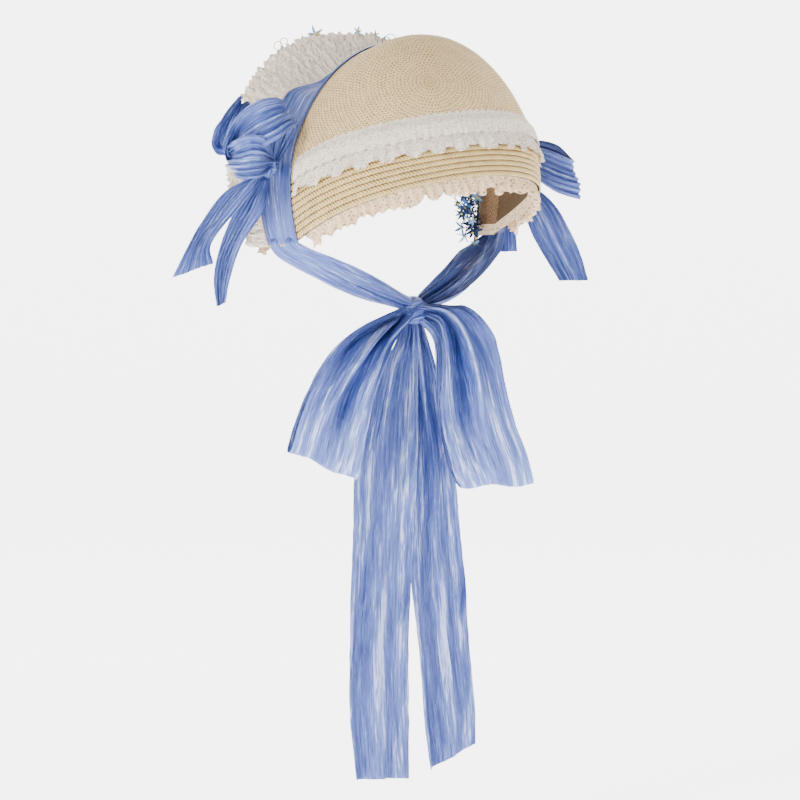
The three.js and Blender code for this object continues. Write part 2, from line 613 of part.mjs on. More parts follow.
// Bow at each ear. side points away from the head, toward points back, and the shares
// are of the loops' spread, or of the tails' length for up in the tails.
const bowPieces = {
  left: [
    { name: 'loop_rear', rows: [
      { side: 0.37, up: 0.14, toward: 0.12, towardW: 0.16, upW: 0.12, pleat: 0.05 },
      { side: 0.66, up: 0.44, toward: 0.32, sideW: 0.06, towardW: 0.5, upW: 0.34, pleat: 0.02, cup: 0.08 },
      { side: 0.64, up: 0.86, toward: 0.36, towardW: 0.66, upW: 0.42, pleat: 0.02, cup: 0.05 },
      { side: 0.44, up: 1.08, toward: 0.36, towardW: 0.7, upW: 0.44, pleat: 0.02 },
      { side: 0.28, up: 0.86, toward: 0.4, towardW: 0.66, upW: 0.4, pleat: 0.02 },
      { side: 0.24, up: 0.54, toward: 0.38, towardW: 0.4, upW: 0.2, pleat: 0.03 },
      { side: 0.2, up: 0.38, toward: 0.26, towardW: 0.2, upW: 0.06, pleat: 0.03 },
    ] },
    { name: 'loop_fore', rows: [
      { side: 0.36, up: 0.02, toward: -0.12, towardW: 0.06, upW: 0.18, pleat: 0.03 },
      { side: 0.64, up: -0.06, toward: -0.16, sideW: 0.1, towardW: 0.2, upW: 0.42, pleat: 0.02, cup: 0.1 },
      { side: 0.76, up: -0.08, toward: -0.34, sideW: 0.12, towardW: 0.24, upW: 0.54, cup: 0.08 },
      { side: 0.72, up: -0.04, toward: -0.52, sideW: 0.1, towardW: 0.22, upW: 0.58, pleat: 0.02 },
      { side: 0.54, up: 0.04, toward: -0.56, towardW: 0.16, upW: 0.5, pleat: 0.02 },
      { side: 0.42, up: 0.02, toward: -0.42, towardW: 0.1, upW: 0.26, pleat: 0.03 },
    ] },
    { name: 'loop_crest', rows: [
      { side: 0.25, up: 0.27, toward: -0.11, towardW: 0.08, upW: 0.02, pleat: 0.02 },
      { side: 0.44, up: 0.62, toward: -0.5, towardW: 0.36, upW: 0.3, pleat: 0.02, cup: 0.04 },
      { side: 0.48, up: 1.02, toward: -0.66, towardW: 0.54, upW: 0.46, pleat: 0.02 },
      { side: 0.38, up: 1.12, toward: -0.76, towardW: 0.56, upW: 0.46, pleat: 0.02 },
      { side: 0.32, up: 0.82, toward: -0.74, towardW: 0.4, upW: 0.34, pleat: 0.02 },
      { side: 0.295, up: 0.54, toward: -0.62, towardW: 0.16, upW: 0.12, pleat: 0.03 },
    ] },
    { name: 'tail_long', tail: true, rows: [
      { side: 0.24, up: -0.1, toward: -0.06, towardW: 0.2, sideW: -0.06, pleat: 0.04 },
      { side: 0.46, up: -0.3, toward: -0.22, towardW: 0.46, sideW: -0.2, pleat: 0.04 },
      { side: 0.74, up: -0.56, toward: -0.5, towardW: 0.34, sideW: -0.2, upW: 0.1, pleat: 0.03 },
      { side: 0.86, up: -0.78, toward: -0.62, towardW: 0.26, sideW: -0.14, upW: 0.02, pleat: 0.03 },
      { side: 0.86, up: -0.96, toward: -0.66, towardW: 0.12, sideW: -0.08, upW: 0.06, pleat: 0.03 },
    ] },
    { name: 'tail_wide', tail: true, rows: [
      { side: 0.35, up: -0.07, toward: -0.14, towardW: 0.16, sideW: -0.05, upW: 0.02, pleat: 0.03 },
      { side: 0.6, up: -0.16, toward: -0.44, towardW: 0.3, sideW: -0.12, upW: 0.06, pleat: 0.04 },
      { side: 0.88, up: -0.34, toward: -0.7, towardW: 0.46, sideW: -0.26, upW: 0.18, pleat: 0.03 },
      { side: 1.1, up: -0.54, toward: -0.84, towardW: 0.42, sideW: -0.3, upW: 0.04, pleat: 0.03 },
      { side: 1.26, up: -0.72, toward: -0.96, towardW: 0.66, sideW: -0.5, upW: 0.26, pleat: 0.03 },
    ] },
  ],
  right: [
    { name: 'loop_rear', rows: [
      { side: 0.34, up: 0.08, toward: 0.12, upW: 0.24, pleat: 0.04 },
      { side: 0.74, up: 0.04, toward: 0.46, upW: 0.66, sideW: -0.1, pleat: 0.02, cup: -0.06 },
      { side: 1.06, up: -0.16, toward: 0.92, upW: 0.82, sideW: -0.1, towardW: -0.1, cup: -0.04 },
      { side: 1.1, up: -0.4, toward: 1.34, upW: 0.7, sideW: -0.1, towardW: -0.16, pleat: 0.02 },
      { side: 0.72, up: -0.24, toward: 1.04, upW: 0.74, sideW: -0.1, pleat: 0.02 },
      { side: 0.42, up: 0, toward: 0.6, upW: 0.5, pleat: 0.02 },
      { side: 0.3, up: 0.02, toward: 0.3, upW: 0.24, pleat: 0.03 },
    ] },
    { name: 'loop_fore', rows: [
      { side: 0.32, up: 0.06, toward: -0.12, upW: 0.24, pleat: 0.03 },
      { side: 0.74, up: 0.1, toward: -0.46, upW: 0.64, pleat: 0.02, cup: 0.06 },
      { side: 0.9, up: 0.1, toward: -0.8, upW: 0.8, pleat: 0.02, cup: 0.04 },
      { side: 0.8, up: 0.08, toward: -1.0, upW: 0.8, pleat: 0.02 },
      { side: 0.58, up: 0.06, toward: -0.8, upW: 0.64, pleat: 0.02 },
      { side: 0.46, up: 0.04, toward: -0.5, upW: 0.3, pleat: 0.03 },
    ] },
    { name: 'tail_long', tail: true, rows: [
      { side: 0.26, up: -0.1, toward: 0.12, towardW: 0.2, sideW: 0.05, pleat: 0.04 },
      { side: 0.62, up: -0.3, toward: 0.6, towardW: 0.66, sideW: 0.2, pleat: 0.03 },
      { side: 0.88, up: -0.6, toward: 0.94, towardW: 0.76, sideW: 0.26, pleat: 0.03 },
      { side: 1.08, up: -0.88, toward: 1.26, towardW: 0.54, sideW: 0.22, pleat: 0.03 },
    ] },
    { name: 'tail_wide', tail: true, rows: [
      { side: 0.3, up: -0.07, toward: -0.15, towardW: 0.14, sideW: 0.04, pleat: 0.03 },
      { side: 0.52, up: -0.36, toward: -0.3, towardW: 0.4, sideW: 0.1, pleat: 0.03 },
      { side: 0.5, up: -0.66, toward: -0.26, towardW: 0.52, sideW: 0.14, pleat: 0.03 },
    ] },
  ],
};

for (const [hand, sign] of [['left', 1], ['right', -1]]) {
  const over = Math.asin(bowHeight / crownHeight);
  const seat = brimAt(sign > 0 ? over : Math.PI - over, bandMiddle(over), bandStand + ribbonWall);
  const axes = { origin: seat, side: V(sign, 0, 0), up: V(0, 0, 1), toward: V(0, 1, 0) };
  for (const piece of bowPieces[hand]) {
    const fall = piece.tail ? bowTailLength : bowSpread;
    const size = { side: bowSpread, up: fall, toward: bowSpread, width: bowRibbon };
    const rows = piece.rows.map((row) => ({ ...row, cup: (row.cup ?? 0) * sign }));
    const steps = piece.tail ? 9 : 15;
    add(`bow_${hand}_${piece.name}`, strip(rows, axes, size, { steps, across: 3 }), ribbonPaint);
  }
  const middle = seat.clone();
  middle.x += sign * (bowCentre * 0.6 + 3 * touch);
  const ball = { ...axes, origin: middle };
  add(`bow_${hand}_centre`, pleatedBall(bowCentre * 0.6, bowCentre, bowCentre * 0.8, ball), ribbonPaint);
}

// Small cloth flowers on a wire along the front edge inside
const petals = 5;
function flower(centre, normal, spin, radius) {
  const x = V(0, 0, 1).cross(normal).normalize();
  const y = normal.clone().cross(x);
  const rim = [];
  for (let i = 0; i < 2 * petals; i += 1) {
    const turn = spin + (Math.PI * i) / petals;
    const reach = radius * (i % 2 === 0 ? 1 : 0.5);
    rim.push(
      centre.clone()
        .addScaledVector(x, reach * Math.cos(turn))
        .addScaledVector(y, reach * Math.sin(turn))
        .addScaledVector(normal, i % 2 === 0 ? flowerHeight * 0.4 : 0),
    );
  }
  const top = centre.clone().addScaledVector(normal, flowerHeight * 0.6);
  const foot = centre.clone().addScaledVector(normal, -flowerHeight * 0.5);
  const corners = [];
  rim.forEach((point, i) => {
    const next = rim[(i + 1) % rim.length];
    for (const p of [top, point, next, foot, next, point]) corners.push(p.x, p.y, p.z);
  });
  return closedSolid(corners);
}

function solid(geometry) {
  const plain = geometry.clone();
  plain.deleteAttribute('normal');
  plain.deleteAttribute('uv');
  const merged = mergeVertices(plain, 1e-3);
  return new wasm.Manifold(new wasm.Mesh({
    numProp: 3,
    vertProperties: new Float32Array(merged.getAttribute('position').array),
    triVerts: new Uint32Array(merged.index.array),
  }));
}

function fromSolid(body) {
  const mesh = body.getMesh();
  const geometry = new THREE.BufferGeometry();
  geometry.setAttribute('position', new THREE.Float32BufferAttribute(mesh.vertProperties, 3));
  geometry.setIndex(Array.from(mesh.triVerts));
  return geometry;
}

// flowers in each cluster: along is in degrees on the arch, forward and inward in shares
// of the flower's radius, size a share of it
const clusterRows = [
  { along: -5, forward: 0.9, inward: 0.9, size: 0.9 },
  { along: 0, forward: 2, inward: 0.5, size: 1 },
  { along: 5, forward: 1.3, inward: 1.2, size: 0.85 },
];
for (let i = 0; i < flowerCount; i += 1) {
  const middle = rad(lerp(flowerFromEar, 180 - flowerFromEar, i / (flowerCount - 1)));
  const onEdge = (over, forward, inward) =>
    brimAt(over, brimDepth(over) - flowerInset + forward, -strawWall - flowerSeat - inward);
  const reach = rad(7);
  const wire = new THREE.CatmullRomCurve3(
    [-1, 0, 1].map((k) => onEdge(middle + k * reach, 0, stemRadius)),
  );
  const section = new THREE.Shape(
    [0, 1, 2, 3].map((k) => new THREE.Vector2(
      stemRadius * Math.cos(rad(90 * k)),
      stemRadius * Math.sin(rad(90 * k)),
    )),
  );
  const stem = new THREE.ExtrudeGeometry(section, { steps: 3, extrudePath: wire, bevelEnabled: false });
  let cluster = solid(stem);
  clusterRows.forEach((row, k) => {
    const over = middle + rad(row.along);
    const radius = flowerRadius * row.size;
    const deep = Math.max(row.inward * radius, stemRadius);
    const centre = onEdge(over, row.forward * radius, deep);
    const root = onEdge(over, 0, stemRadius);
    const normal = centre.clone().sub(root).normalize();
    const stalkLine = new THREE.LineCurve3(root, centre);
    const stalk = { steps: 1, extrudePath: stalkLine, bevelEnabled: false };
    cluster = cluster
      .add(solid(new THREE.ExtrudeGeometry(section, stalk)))
      .add(solid(flower(centre, normal, k + i, radius)));
  });
  add(`flowers_${i + 1}`, fromSolid(cluster), flowerPaint);
}

export default hat;
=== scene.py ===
import math

import bpy
import numpy as np
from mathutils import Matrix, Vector


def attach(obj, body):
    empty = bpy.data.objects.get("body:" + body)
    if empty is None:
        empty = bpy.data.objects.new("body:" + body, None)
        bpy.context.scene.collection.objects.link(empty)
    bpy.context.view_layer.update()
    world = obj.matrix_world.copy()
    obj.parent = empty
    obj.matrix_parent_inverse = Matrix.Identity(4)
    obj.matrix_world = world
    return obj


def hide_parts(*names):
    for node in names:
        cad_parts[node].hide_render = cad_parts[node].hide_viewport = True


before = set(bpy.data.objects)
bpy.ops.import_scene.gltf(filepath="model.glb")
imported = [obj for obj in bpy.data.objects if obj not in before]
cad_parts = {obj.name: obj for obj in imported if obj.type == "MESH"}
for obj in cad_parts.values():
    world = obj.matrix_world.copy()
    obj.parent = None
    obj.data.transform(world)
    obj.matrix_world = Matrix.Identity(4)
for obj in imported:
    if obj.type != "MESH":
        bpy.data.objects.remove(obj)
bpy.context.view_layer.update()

# Camera
EAR_LEVEL = -155.0
AZIMUTH = math.radians(144)
ELEVATION = math.radians(1)
DISTANCE = 2600.0
PICTURE = 800
PIXEL = 0.8
EAR_MIDDLE = (396, 240)
SENSOR = 36.0

back = Vector((
    math.sin(AZIMUTH) * math.cos(ELEVATION),
    -math.cos(AZIMUTH) * math.cos(ELEVATION),
    math.sin(ELEVATION),
))
right = (-back).cross(Vector((0, 0, 1))).normalized()
up = right.cross(-back)
aim = (
    Vector((0, 0, EAR_LEVEL))
    + right * (PICTURE / 2 - EAR_MIDDLE[0]) * PIXEL
    + up * (EAR_MIDDLE[1] - PICTURE / 2) * PIXEL
)
camera = bpy.data.objects.new("camera", bpy.data.cameras.new("camera"))
bpy.context.scene.collection.objects.link(camera)
camera.location = (aim + back * DISTANCE) / 1000
camera.rotation_mode = "QUATERNION"
camera.rotation_quaternion = (-back).to_track_quat("-Z", "Y")
camera.data.sensor_width = SENSOR
camera.data.lens = SENSOR * DISTANCE / (PICTURE * PIXEL)
bpy.context.scene.camera = camera

# Sizes in mm. Most are those of the solids. The solids have 5 braid rows and no dip under the
# ribbon, and CHIN_WRAP is smaller than their knot.
HALF_WIDTH = 115
BACK_DEPTH = 130
CROWN_HEIGHT = 157
STRAW_WALL = 2
CROWN_FULLNESS = 2.38
CROWN_LIFT = 0.055
EAR_TAPER = 0.125
EAR_TAPER_TOP = 80
LEAN = 0.055
NECK_RISE = 46
NECK_POWER = 0.9
SEAM_AT_EAR = 45
SEAM_RISE = 34
BRAID_ROWS = 8
BRIM_DEPTH_EAR = 38
BRIM_DEPTH_TOP = 75
BRIM_FLARE_SIDE = 10
BRIM_FLARE_TOP = 8
BRIM_FLARE_SHOULDER = 9
BRIM_FLARE_POWER = 1.5
BAND_DIP = 16  # valley in the straw that the ribbon lies in over the top
LACE_STAND = 0.4
BAND_UPPER_HEIGHT = 18
BAND_LOWER_DROP = 10
BAND_HIDDEN = 5
FRILL_DROP = 12
FRILL_HEADER = 9
RIBBON_WIDTH = 58
BAND_WIDTH = 35
BAND_FORWARD_EAR = 6.5
BAND_FORWARD_TOP = 17.5
BAND_STAND = 0.6
BAND_FOOT = math.radians(0.5)
RIBBON_WALL = 1.1
TOUCH = 0.3
KNOT = (-15, 3, -56)
KNOT_SIZE = (12.5, 12, 13)
CHIN_WRAP = (12.5, 11, 11.5)
CHIN_TURN = 20
LOOP_DEPTH = 26
BOW_RIBBON = 46
BOW_HEIGHT = 60
BOW_SPREAD = 40
BOW_TAIL = 112
BOW_CENTRE = 11
BOW_PLEATS = 7
PLEAT_MOST = 1.6  # depth of a pleat at most
BAND_RADIUS = 130  # mean radii that textures and waves are spaced by
LACE_RADIUS = 120
TIER_RADIUS = 138
FLOWER_COUNT = 7
FLOWER_SEAT = 0.6
FLOWER_INSET = 7
FLOWER_FROM_EAR = 11
STEM = 1.4


# Surfaces of the hat
def mix(a, b, t):
    return a + (b - a) * t


def ease(x, start, end):
    t = np.clip((x - start) / (end - start), 0, 1)
    return t * t * (3 - 2 * t)


def noise(x, y, seed=0):
    """Smooth random waves from -1 to 1 with about one bump per unit."""
    x, y = np.broadcast_arrays(np.asarray(x, float), np.asarray(y, float))
    i, j = np.floor(x), np.floor(y)
    a, b = ease(x - i, 0, 1), ease(y - j, 0, 1)

    def corner(p, q):
        h = np.sin((i + p) * 127.1 + (j + q) * 311.7 + seed * 74.7) * 43758.5453
        return h - np.floor(h)

    low = mix(corner(0, 0), corner(1, 0), a)
    high = mix(corner(0, 1), corner(1, 1), a)
    return 2 * mix(low, high, b) - 1


def points(x, y, z):
    return np.stack(np.broadcast_arrays(x, y, z), -1).astype(float)


def leaned(x, y, z):
    narrowing = EAR_TAPER * np.maximum(1 - np.maximum(z, 0) / EAR_TAPER_TOP, 0) ** 1.5
    return points(x * (1 - narrowing), y, z - LEAN * x)


def fullness(around):
    return 2 + (CROWN_FULLNESS - 2) * np.sin(around) ** 2


def crown_at(around, height, offset):
    power = fullness(around)
    share = np.clip(height / (CROWN_HEIGHT + offset), 0, 1)
    reach = (1 - share**power) ** (1 / power)
    behind = reach * np.sin(around)
    swell = 14.1 * np.maximum(behind, 0) ** 1.5 * (1 - np.minimum(behind, 1)) ** 2.5
    return leaned(
        (HALF_WIDTH + offset) * reach * np.cos(around),
        (BACK_DEPTH + offset) * behind,
        height * (1 + CROWN_LIFT * swell),
    )


def height_up(around, level, rise, offset):
    top = CROWN_HEIGHT + offset
    power = fullness(around)
    start = np.arcsin((level / top) ** (power / 2))
    return top * np.sin(mix(start, math.pi / 2, rise)) ** (2 / power)


def edge_height(around):
    return NECK_RISE * np.maximum(np.sin(around), 0) ** NECK_POWER


def seam_height(around):
    return SEAM_AT_EAR + SEAM_RISE * np.sin(around)


def brim_depth(over):
    return mix(BRIM_DEPTH_EAR, BRIM_DEPTH_TOP, np.sin(over))


def valley(over, forward):
    high = ease(np.sin(over), math.sin(math.radians(46)), math.sin(math.radians(64)))
    return BAND_DIP * high * ease(forward, 0, 15) * (1 - ease(forward, 36, 72))


def brim_at(over, forward, offset):
    flare = np.maximum(forward / brim_depth(over), 0) ** BRIM_FLARE_POWER
    shoulder = BRIM_FLARE_SHOULDER * np.abs(np.sin(2 * over))
    offset = offset - valley(over, forward)
    return leaned(
        (HALF_WIDTH + (BRIM_FLARE_SIDE + shoulder) * flare + offset) * np.cos(over),
        -forward,
        (CROWN_HEIGHT + (BRIM_FLARE_TOP + shoulder) * flare + offset) * np.sin(over),
    )


def band_middle(over):
    return mix(BAND_FORWARD_EAR, BAND_FORWARD_TOP, np.sin(over))


def band_front(over):
    return band_middle(over) + BAND_WIDTH / 2


def band_back(over):
    return band_middle(over) - BAND_WIDTH / 2


# Meshes. A patch is a grid of points, a grid of texture places, and a material's number.
def grid(steps_u, steps_v):
    return np.linspace(0, 1, steps_u + 1)[:, None], np.linspace(0, 1, steps_v + 1)[None, :]


def lengths(line):
    """Distance along a line of points, from its start."""
    steps = np.linalg.norm(np.diff(line, axis=0), axis=1)
    return np.concatenate([[0], np.cumsum(steps)])


def patch_faces(shape, start):
    n, m = shape[:2]
    i, j = np.meshgrid(np.arange(n - 1), np.arange(m - 1), indexing="ij")
    a = (i * m + j).ravel() + start
    return np.stack([a, a + m, a + m + 1, a + 1], -1)


def build(name, patches, materials, replaced, round_wrap=False):
    verts, faces, places, kinds = [], [], [], []
    start = 0
    for place, texture, kind in patches:
        verts.append(place.reshape(-1, 3))
        found = patch_faces(place.shape, start)
        faces.append(found)
        kinds.append(np.full(len(found), kind))
        corners = np.broadcast_to(texture, place.shape[:2] + (2,)).reshape(-1, 2)[found - start]
        if round_wrap:
            turn = corners[..., 0]
            far = turn.max(axis=1, keepdims=True) - turn > 0.5
            corners = corners + np.stack([far, np.zeros_like(far)], -1)
        places.append(corners.reshape(-1, 2))
        start += len(verts[-1])
    return finish_mesh(
        name, np.concatenate(verts), np.concatenate(faces), materials, replaced,
        np.concatenate(places), np.concatenate(kinds),
    )


def finish_mesh(name, verts, faces, materials, replaced, places, kinds):
    mesh = bpy.data.meshes.new(name)
    local = (np.asarray(verts) + [0, 0, EAR_LEVEL]) / 1000
    mesh.from_pydata(local.tolist(), [], [list(f) for f in faces])
    layer = mesh.uv_layers.new(name="UVMap")
    layer.data.foreach_set("uv", np.asarray(places, np.float32).ravel())
    for material in materials:
        mesh.materials.append(material)
    mesh.polygons.foreach_set("material_index", np.asarray(kinds, np.int32))
    mesh.polygons.foreach_set("use_smooth", np.ones(len(mesh.polygons), bool))
    mesh.update()
    piece = bpy.data.objects.new(name, mesh)
    bpy.context.scene.collection.objects.link(piece)
    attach(piece, "root")
    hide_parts(*replaced)
    return piece


# Cloth as it was cut, before it was folded, gathered or hung: width and length in mm. Widths are the
# named ones above. Lengths of the chin bow and most of the left bow are read off the photo, a loop
# being twice its reach and a guessed turn. The ties and band follow the hat's named sizes. Lace is the
# line it is sewn to times a guessed fullness. The left bow's tail_wide and the whole right bow have
# the lengths of their modelled routes, so for those five only the width is independent of the mesh.
CHIN_CUTS = {
    "band": 434, "tie_left": 129, "tie_right": 102,
    "chin_loop_left": 305, "chin_loop_right": 327, "chin_tail_left": 378, "chin_tail_right": 364,
}
BOW_CUTS = {
    "left": {"loop_rear": 137, "loop_fore": 105, "loop_crest": 117, "tail_long": 112, "tail_wide": 92},
    "right": {"loop_rear": 121, "loop_fore": 70, "tail_long": 105, "tail_wide": 68},
}
CUT = {
    "lace_upper_tier": (BAND_UPPER_HEIGHT, 359),
    "lace_lower_tier": (BAND_LOWER_DROP + BAND_HIDDEN, 377),
    "edge_ruffle": (FRILL_DROP + FRILL_HEADER, 608),
    "brim_lace": (31, 607),  # the widths of a part's three tiers added
}
CUT |= {name: (RIBBON_WIDTH, long) for name, long in CHIN_CUTS.items()}
CUT |= {
    f"bow_{hand}_{part}": (BOW_RIBBON, long)
    for hand, parts in BOW_CUTS.items() for part, long in parts.items()
}


# Materials
class Paint:
    """A material whose shader is the Principled BSDF, with short calls for its nodes."""

    def __init__(self, name, **values):
        self.material = bpy.data.materials.new(name)
        self.material.use_nodes = True
        self.tree = self.material.node_tree
        self.shader = self.tree.nodes["Principled BSDF"]
        for socket, value in values.items():
            self.shader.inputs[socket.replace("_", " ")].default_value = value

    def put(self, socket, value):
        if isinstance(value, bpy.types.NodeSocket):
            self.tree.links.new(value, socket)
        else:
            socket.default_value = value

    def math(self, operation, *values):
        node = self.tree.nodes.new("ShaderNodeMath")
        node.operation = operation
        for socket, value in zip(node.inputs, values):
            self.put(socket, value)
        return node.outputs[0]

    def texture_place(self):
        node = self.tree.nodes.new("ShaderNodeTexCoord")
        parts = self.tree.nodes.new("ShaderNodeSeparateXYZ")
        self.put(parts.inputs[0], node.outputs["UV"])
        return parts.outputs[0], parts.outputs[1]

    def vector(self, x, y, z=0.0):
        node = self.tree.nodes.new("ShaderNodeCombineXYZ")
        for socket, value in zip(node.inputs, (x, y, z)):
            self.put(socket, value)
        return node.outputs[0]

    def random(self, x, y):
        node = self.tree.nodes.new("ShaderNodeTexWhiteNoise")
        node.noise_dimensions = "2D"
        self.put(node.inputs["Vector"], self.vector(x, y))
        return node.outputs["Value"]

    def waves(self, x, y, detail=2.0, roughness=0.5):
        node = self.tree.nodes.new("ShaderNodeTexNoise")
        self.put(node.inputs["Vector"], self.vector(x, y))
        self.put(node.inputs["Scale"], 1.0)
        self.put(node.inputs["Detail"], detail)
        self.put(node.inputs["Roughness"], roughness)
        return node.outputs["Fac"]

    def ramp(self, value, *stops):
        node = self.tree.nodes.new("ShaderNodeValToRGB")
        self.put(node.inputs[0], value)
        steps = node.color_ramp.elements
        while len(steps) < len(stops):
            steps.new(0.5)
        for step, (position, colour) in zip(steps, stops):
            step.position = position
            step.color = (*colour, 1)
        return node.outputs[0]

    def blend(self, share, a, b, how="MIX"):
        node = self.tree.nodes.new("ShaderNodeMix")
        node.data_type = "RGBA"
        node.blend_type = how
        self.put(node.inputs[0], share)
        self.put(node.inputs[6], a if isinstance(a, bpy.types.NodeSocket) else (*a, 1))
        self.put(node.inputs[7], b if isinstance(b, bpy.types.NodeSocket) else (*b, 1))
        return node.outputs[2]

    def bump(self, height, distance, strength=1.0):
        node = self.tree.nodes.new("ShaderNodeBump")
        self.put(node.inputs["Height"], height)
        node.inputs["Distance"].default_value = distance
        node.inputs["Strength"].default_value = strength
        self.put(self.shader.inputs["Normal"], node.outputs[0])

    def colour(self, value):
        self.put(self.shader.inputs["Base Color"], value)

    def tent(self, value, power):
        """1 in the middle of 0 to 1 and 0 at both ends."""
        away = self.math("ABSOLUTE", self.math("MULTIPLY_ADD", value, 2.0, -1.0))
        return self.math("SUBTRACT", 1.0, self.math("POWER", away, power))


def linear(red, green, blue):
    """Linear colour from an 8-bit display colour."""
    return tuple(
        c / 255 / 12.92 if c / 255 <= 0.04045 else ((c / 255 + 0.055) / 1.055) ** 2.4
        for c in (red, green, blue)
    )


def weave_paint(name, pale, dark):
    """Rings of stitches, with painted shade in the grooves between them: texture x is the turn round the
    tip and y the distance in 0.1 m.
    """
    pitch, stitch = 2.9, 3.1
    paint = Paint(name, Roughness=0.78, Specular_IOR_Level=0.25)
    x, y = paint.texture_place()
    wander = paint.waves(paint.math("MULTIPLY", x, 130.0), paint.math("MULTIPLY", y, 22.0), 2.0)
    ring = paint.math("MULTIPLY_ADD", y, 100 / pitch, paint.math("MULTIPLY", wander, 0.9))
    number = paint.math("FLOOR", ring)
    within = paint.math("FRACT", ring)
    count = paint.math("ROUND", paint.math("MULTIPLY_ADD", number, 2 * math.pi * pitch / stitch, 6.0))
    odd = paint.math("MODULO", number, 2.0)
    lean = paint.math("MULTIPLY", paint.math("SUBTRACT", within, 0.5),
                      paint.math("MULTIPLY_ADD", odd, 1.5, -0.75))
    along = paint.math("MULTIPLY_ADD", x, count, paint.math("MULTIPLY", odd, 0.5))
    along = paint.math("ADD", along, lean)
    cell = paint.math("FRACT", along)
    ridge = paint.tent(within, 2.0)
    strand = paint.tent(cell, 1.6)
    height = paint.math("ADD", paint.math("MULTIPLY", ridge, 0.4), paint.math("MULTIPLY", strand, 0.6))
    speck = paint.random(paint.math("FLOOR", along), number)
    fibre = paint.waves(paint.math("MULTIPLY", x, 900.0), paint.math("MULTIPLY", y, 140.0), 2.0)
    blot = paint.waves(paint.math("MULTIPLY", x, 40.0), paint.math("MULTIPLY", y, 9.0))
    # deep is lowest in the grooves, where the ramp gives the dark colour: painted groove shade. speck
    # makes single stitches darker at random, the straw's own tone.
    deep = paint.math("MULTIPLY_ADD", speck, 0.2, paint.math("SUBTRACT", height, 0.1))
    tone = paint.ramp(deep, (0.16, dark), (0.42, mix3(dark, pale, 0.55)), (0.68, pale))
    shade = paint.math("MULTIPLY_ADD", fibre, 0.3, 0.7)
    shade = paint.math("MULTIPLY_ADD", blot, 0.22, shade)
    paint.colour(paint.blend(1.0, tone, paint.vector(shade, shade, shade), "MULTIPLY"))
    paint.bump(height, 0.0009)
    return paint.material


def mix3(a, b, t):
    return tuple(mix(p, q, t) for p, q in zip(a, b))


def braid_paint(name, pale, dark):
    """Plaited rows, with painted shade in the grooves between them: texture x is the distance along in
    0.1 m and y the number of the row.
    """
    plait = 3.0
    paint = Paint(name, Roughness=0.65, Specular_IOR_Level=0.35)
    x, y = paint.texture_place()
    within = paint.math("FRACT", y)
    number = paint.math("FLOOR", y)
    slope = paint.math("ABSOLUTE", paint.math("MULTIPLY_ADD", within, 2.0, -1.0))
    along = paint.math("MULTIPLY_ADD", x, 100 / plait, paint.math("MULTIPLY", slope, 0.9))
    along = paint.math("MULTIPLY_ADD", number, 0.37, along)
    strand = paint.tent(paint.math("FRACT", along), 1.3)
    ridge = paint.tent(within, 5.0)
    height = paint.math("MULTIPLY", ridge, paint.math("MULTIPLY_ADD", strand, 0.85, 0.15))
    speck = paint.random(paint.math("FLOOR", along), number)
    # deep is lowest between rows and plaits, where the ramp gives the dark colour: painted groove shade.
    # speck darkens single plaits at random, the straw's own tone.
    deep = paint.math("MULTIPLY_ADD", speck, 0.22, paint.math("SUBTRACT", height, 0.11))
    tone = paint.ramp(deep, (0.06, dark), (0.34, mix3(dark, pale, 0.55)), (0.66, pale))
    fibre = paint.waves(paint.math("MULTIPLY", x, 160.0), paint.math("MULTIPLY", y, 9.0), 2.0)
    shade = paint.math("MULTIPLY_ADD", fibre, 0.3, 0.85)
    paint.colour(paint.blend(1.0, tone, paint.vector(shade, shade, shade), "MULTIPLY"))
    paint.bump(height, 0.0011)
    return paint.material


def lace_paint(name, pale, hole, eyelet, pitch, relief=0.0008):
    """Cotton with scattered pinholes and painted shade in the valleys of its crumple: texture x and y
    are distances in 0.1 m.
    """
    paint = Paint(name, Roughness=0.92, Specular_IOR_Level=0.12, Sheen_Weight=0.2)
    x, y = paint.texture_place()
    row = paint.math("MULTIPLY", y, 100 / pitch)
    odd = paint.math("MODULO", paint.math("FLOOR", row), 2.0)
    column = paint.math("MULTIPLY_ADD", x, 100 / pitch, paint.math("MULTIPLY", odd, 0.5))
    chance = paint.random(paint.math("FLOOR", column), paint.math("FLOOR", row))
    shift = paint.random(paint.math("FLOOR", row), paint.math("FLOOR", column))
    middle = paint.math("MULTIPLY_ADD", chance, 0.5, 0.25)
    across = paint.math("SUBTRACT", paint.math("FRACT", column), middle)
    middle = paint.math("MULTIPLY_ADD", shift, 0.5, 0.25)
    down = paint.math("SUBTRACT", paint.math("FRACT", row), middle)
    squares = paint.math("POWER", across, 2.0), paint.math("POWER", down, 2.0)
    away = paint.math("SQRT", paint.math("ADD", *squares))
    fine = paint.waves(paint.math("MULTIPLY", x, 80.0), paint.math("MULTIPLY", y, 80.0), 4.0, 0.65)
    ragged = paint.math("ADD", away, paint.math("MULTIPLY_ADD", fine, 0.3, -0.15))
    wide = paint.math("MULTIPLY", paint.math("ADD", chance, 0.25), eyelet / pitch)
    inside = paint.math("MULTIPLY", paint.math("GREATER_THAN", wide, ragged), 0.7)
    lump = paint.waves(paint.math("MULTIPLY", x, 22.0), paint.math("MULTIPLY", y, 22.0), 3.0, 0.6)
    both = paint.math("ADD", paint.math("MULTIPLY", fine, 0.45), paint.math("MULTIPLY", lump, 0.55))
    # Darker where the crumple noise is low: painted shade in the valleys, the same noise that drives the
    # bump.
    tone = paint.ramp(both, (0.34, mix3(pale, (0.34, 0.27, 0.2), 0.55)), (0.48, pale))
    paint.colour(paint.blend(inside, tone, hole))
    paint.bump(paint.math("SUBTRACT", both, paint.math("MULTIPLY", inside, 0.3)), relief)
    return paint.material


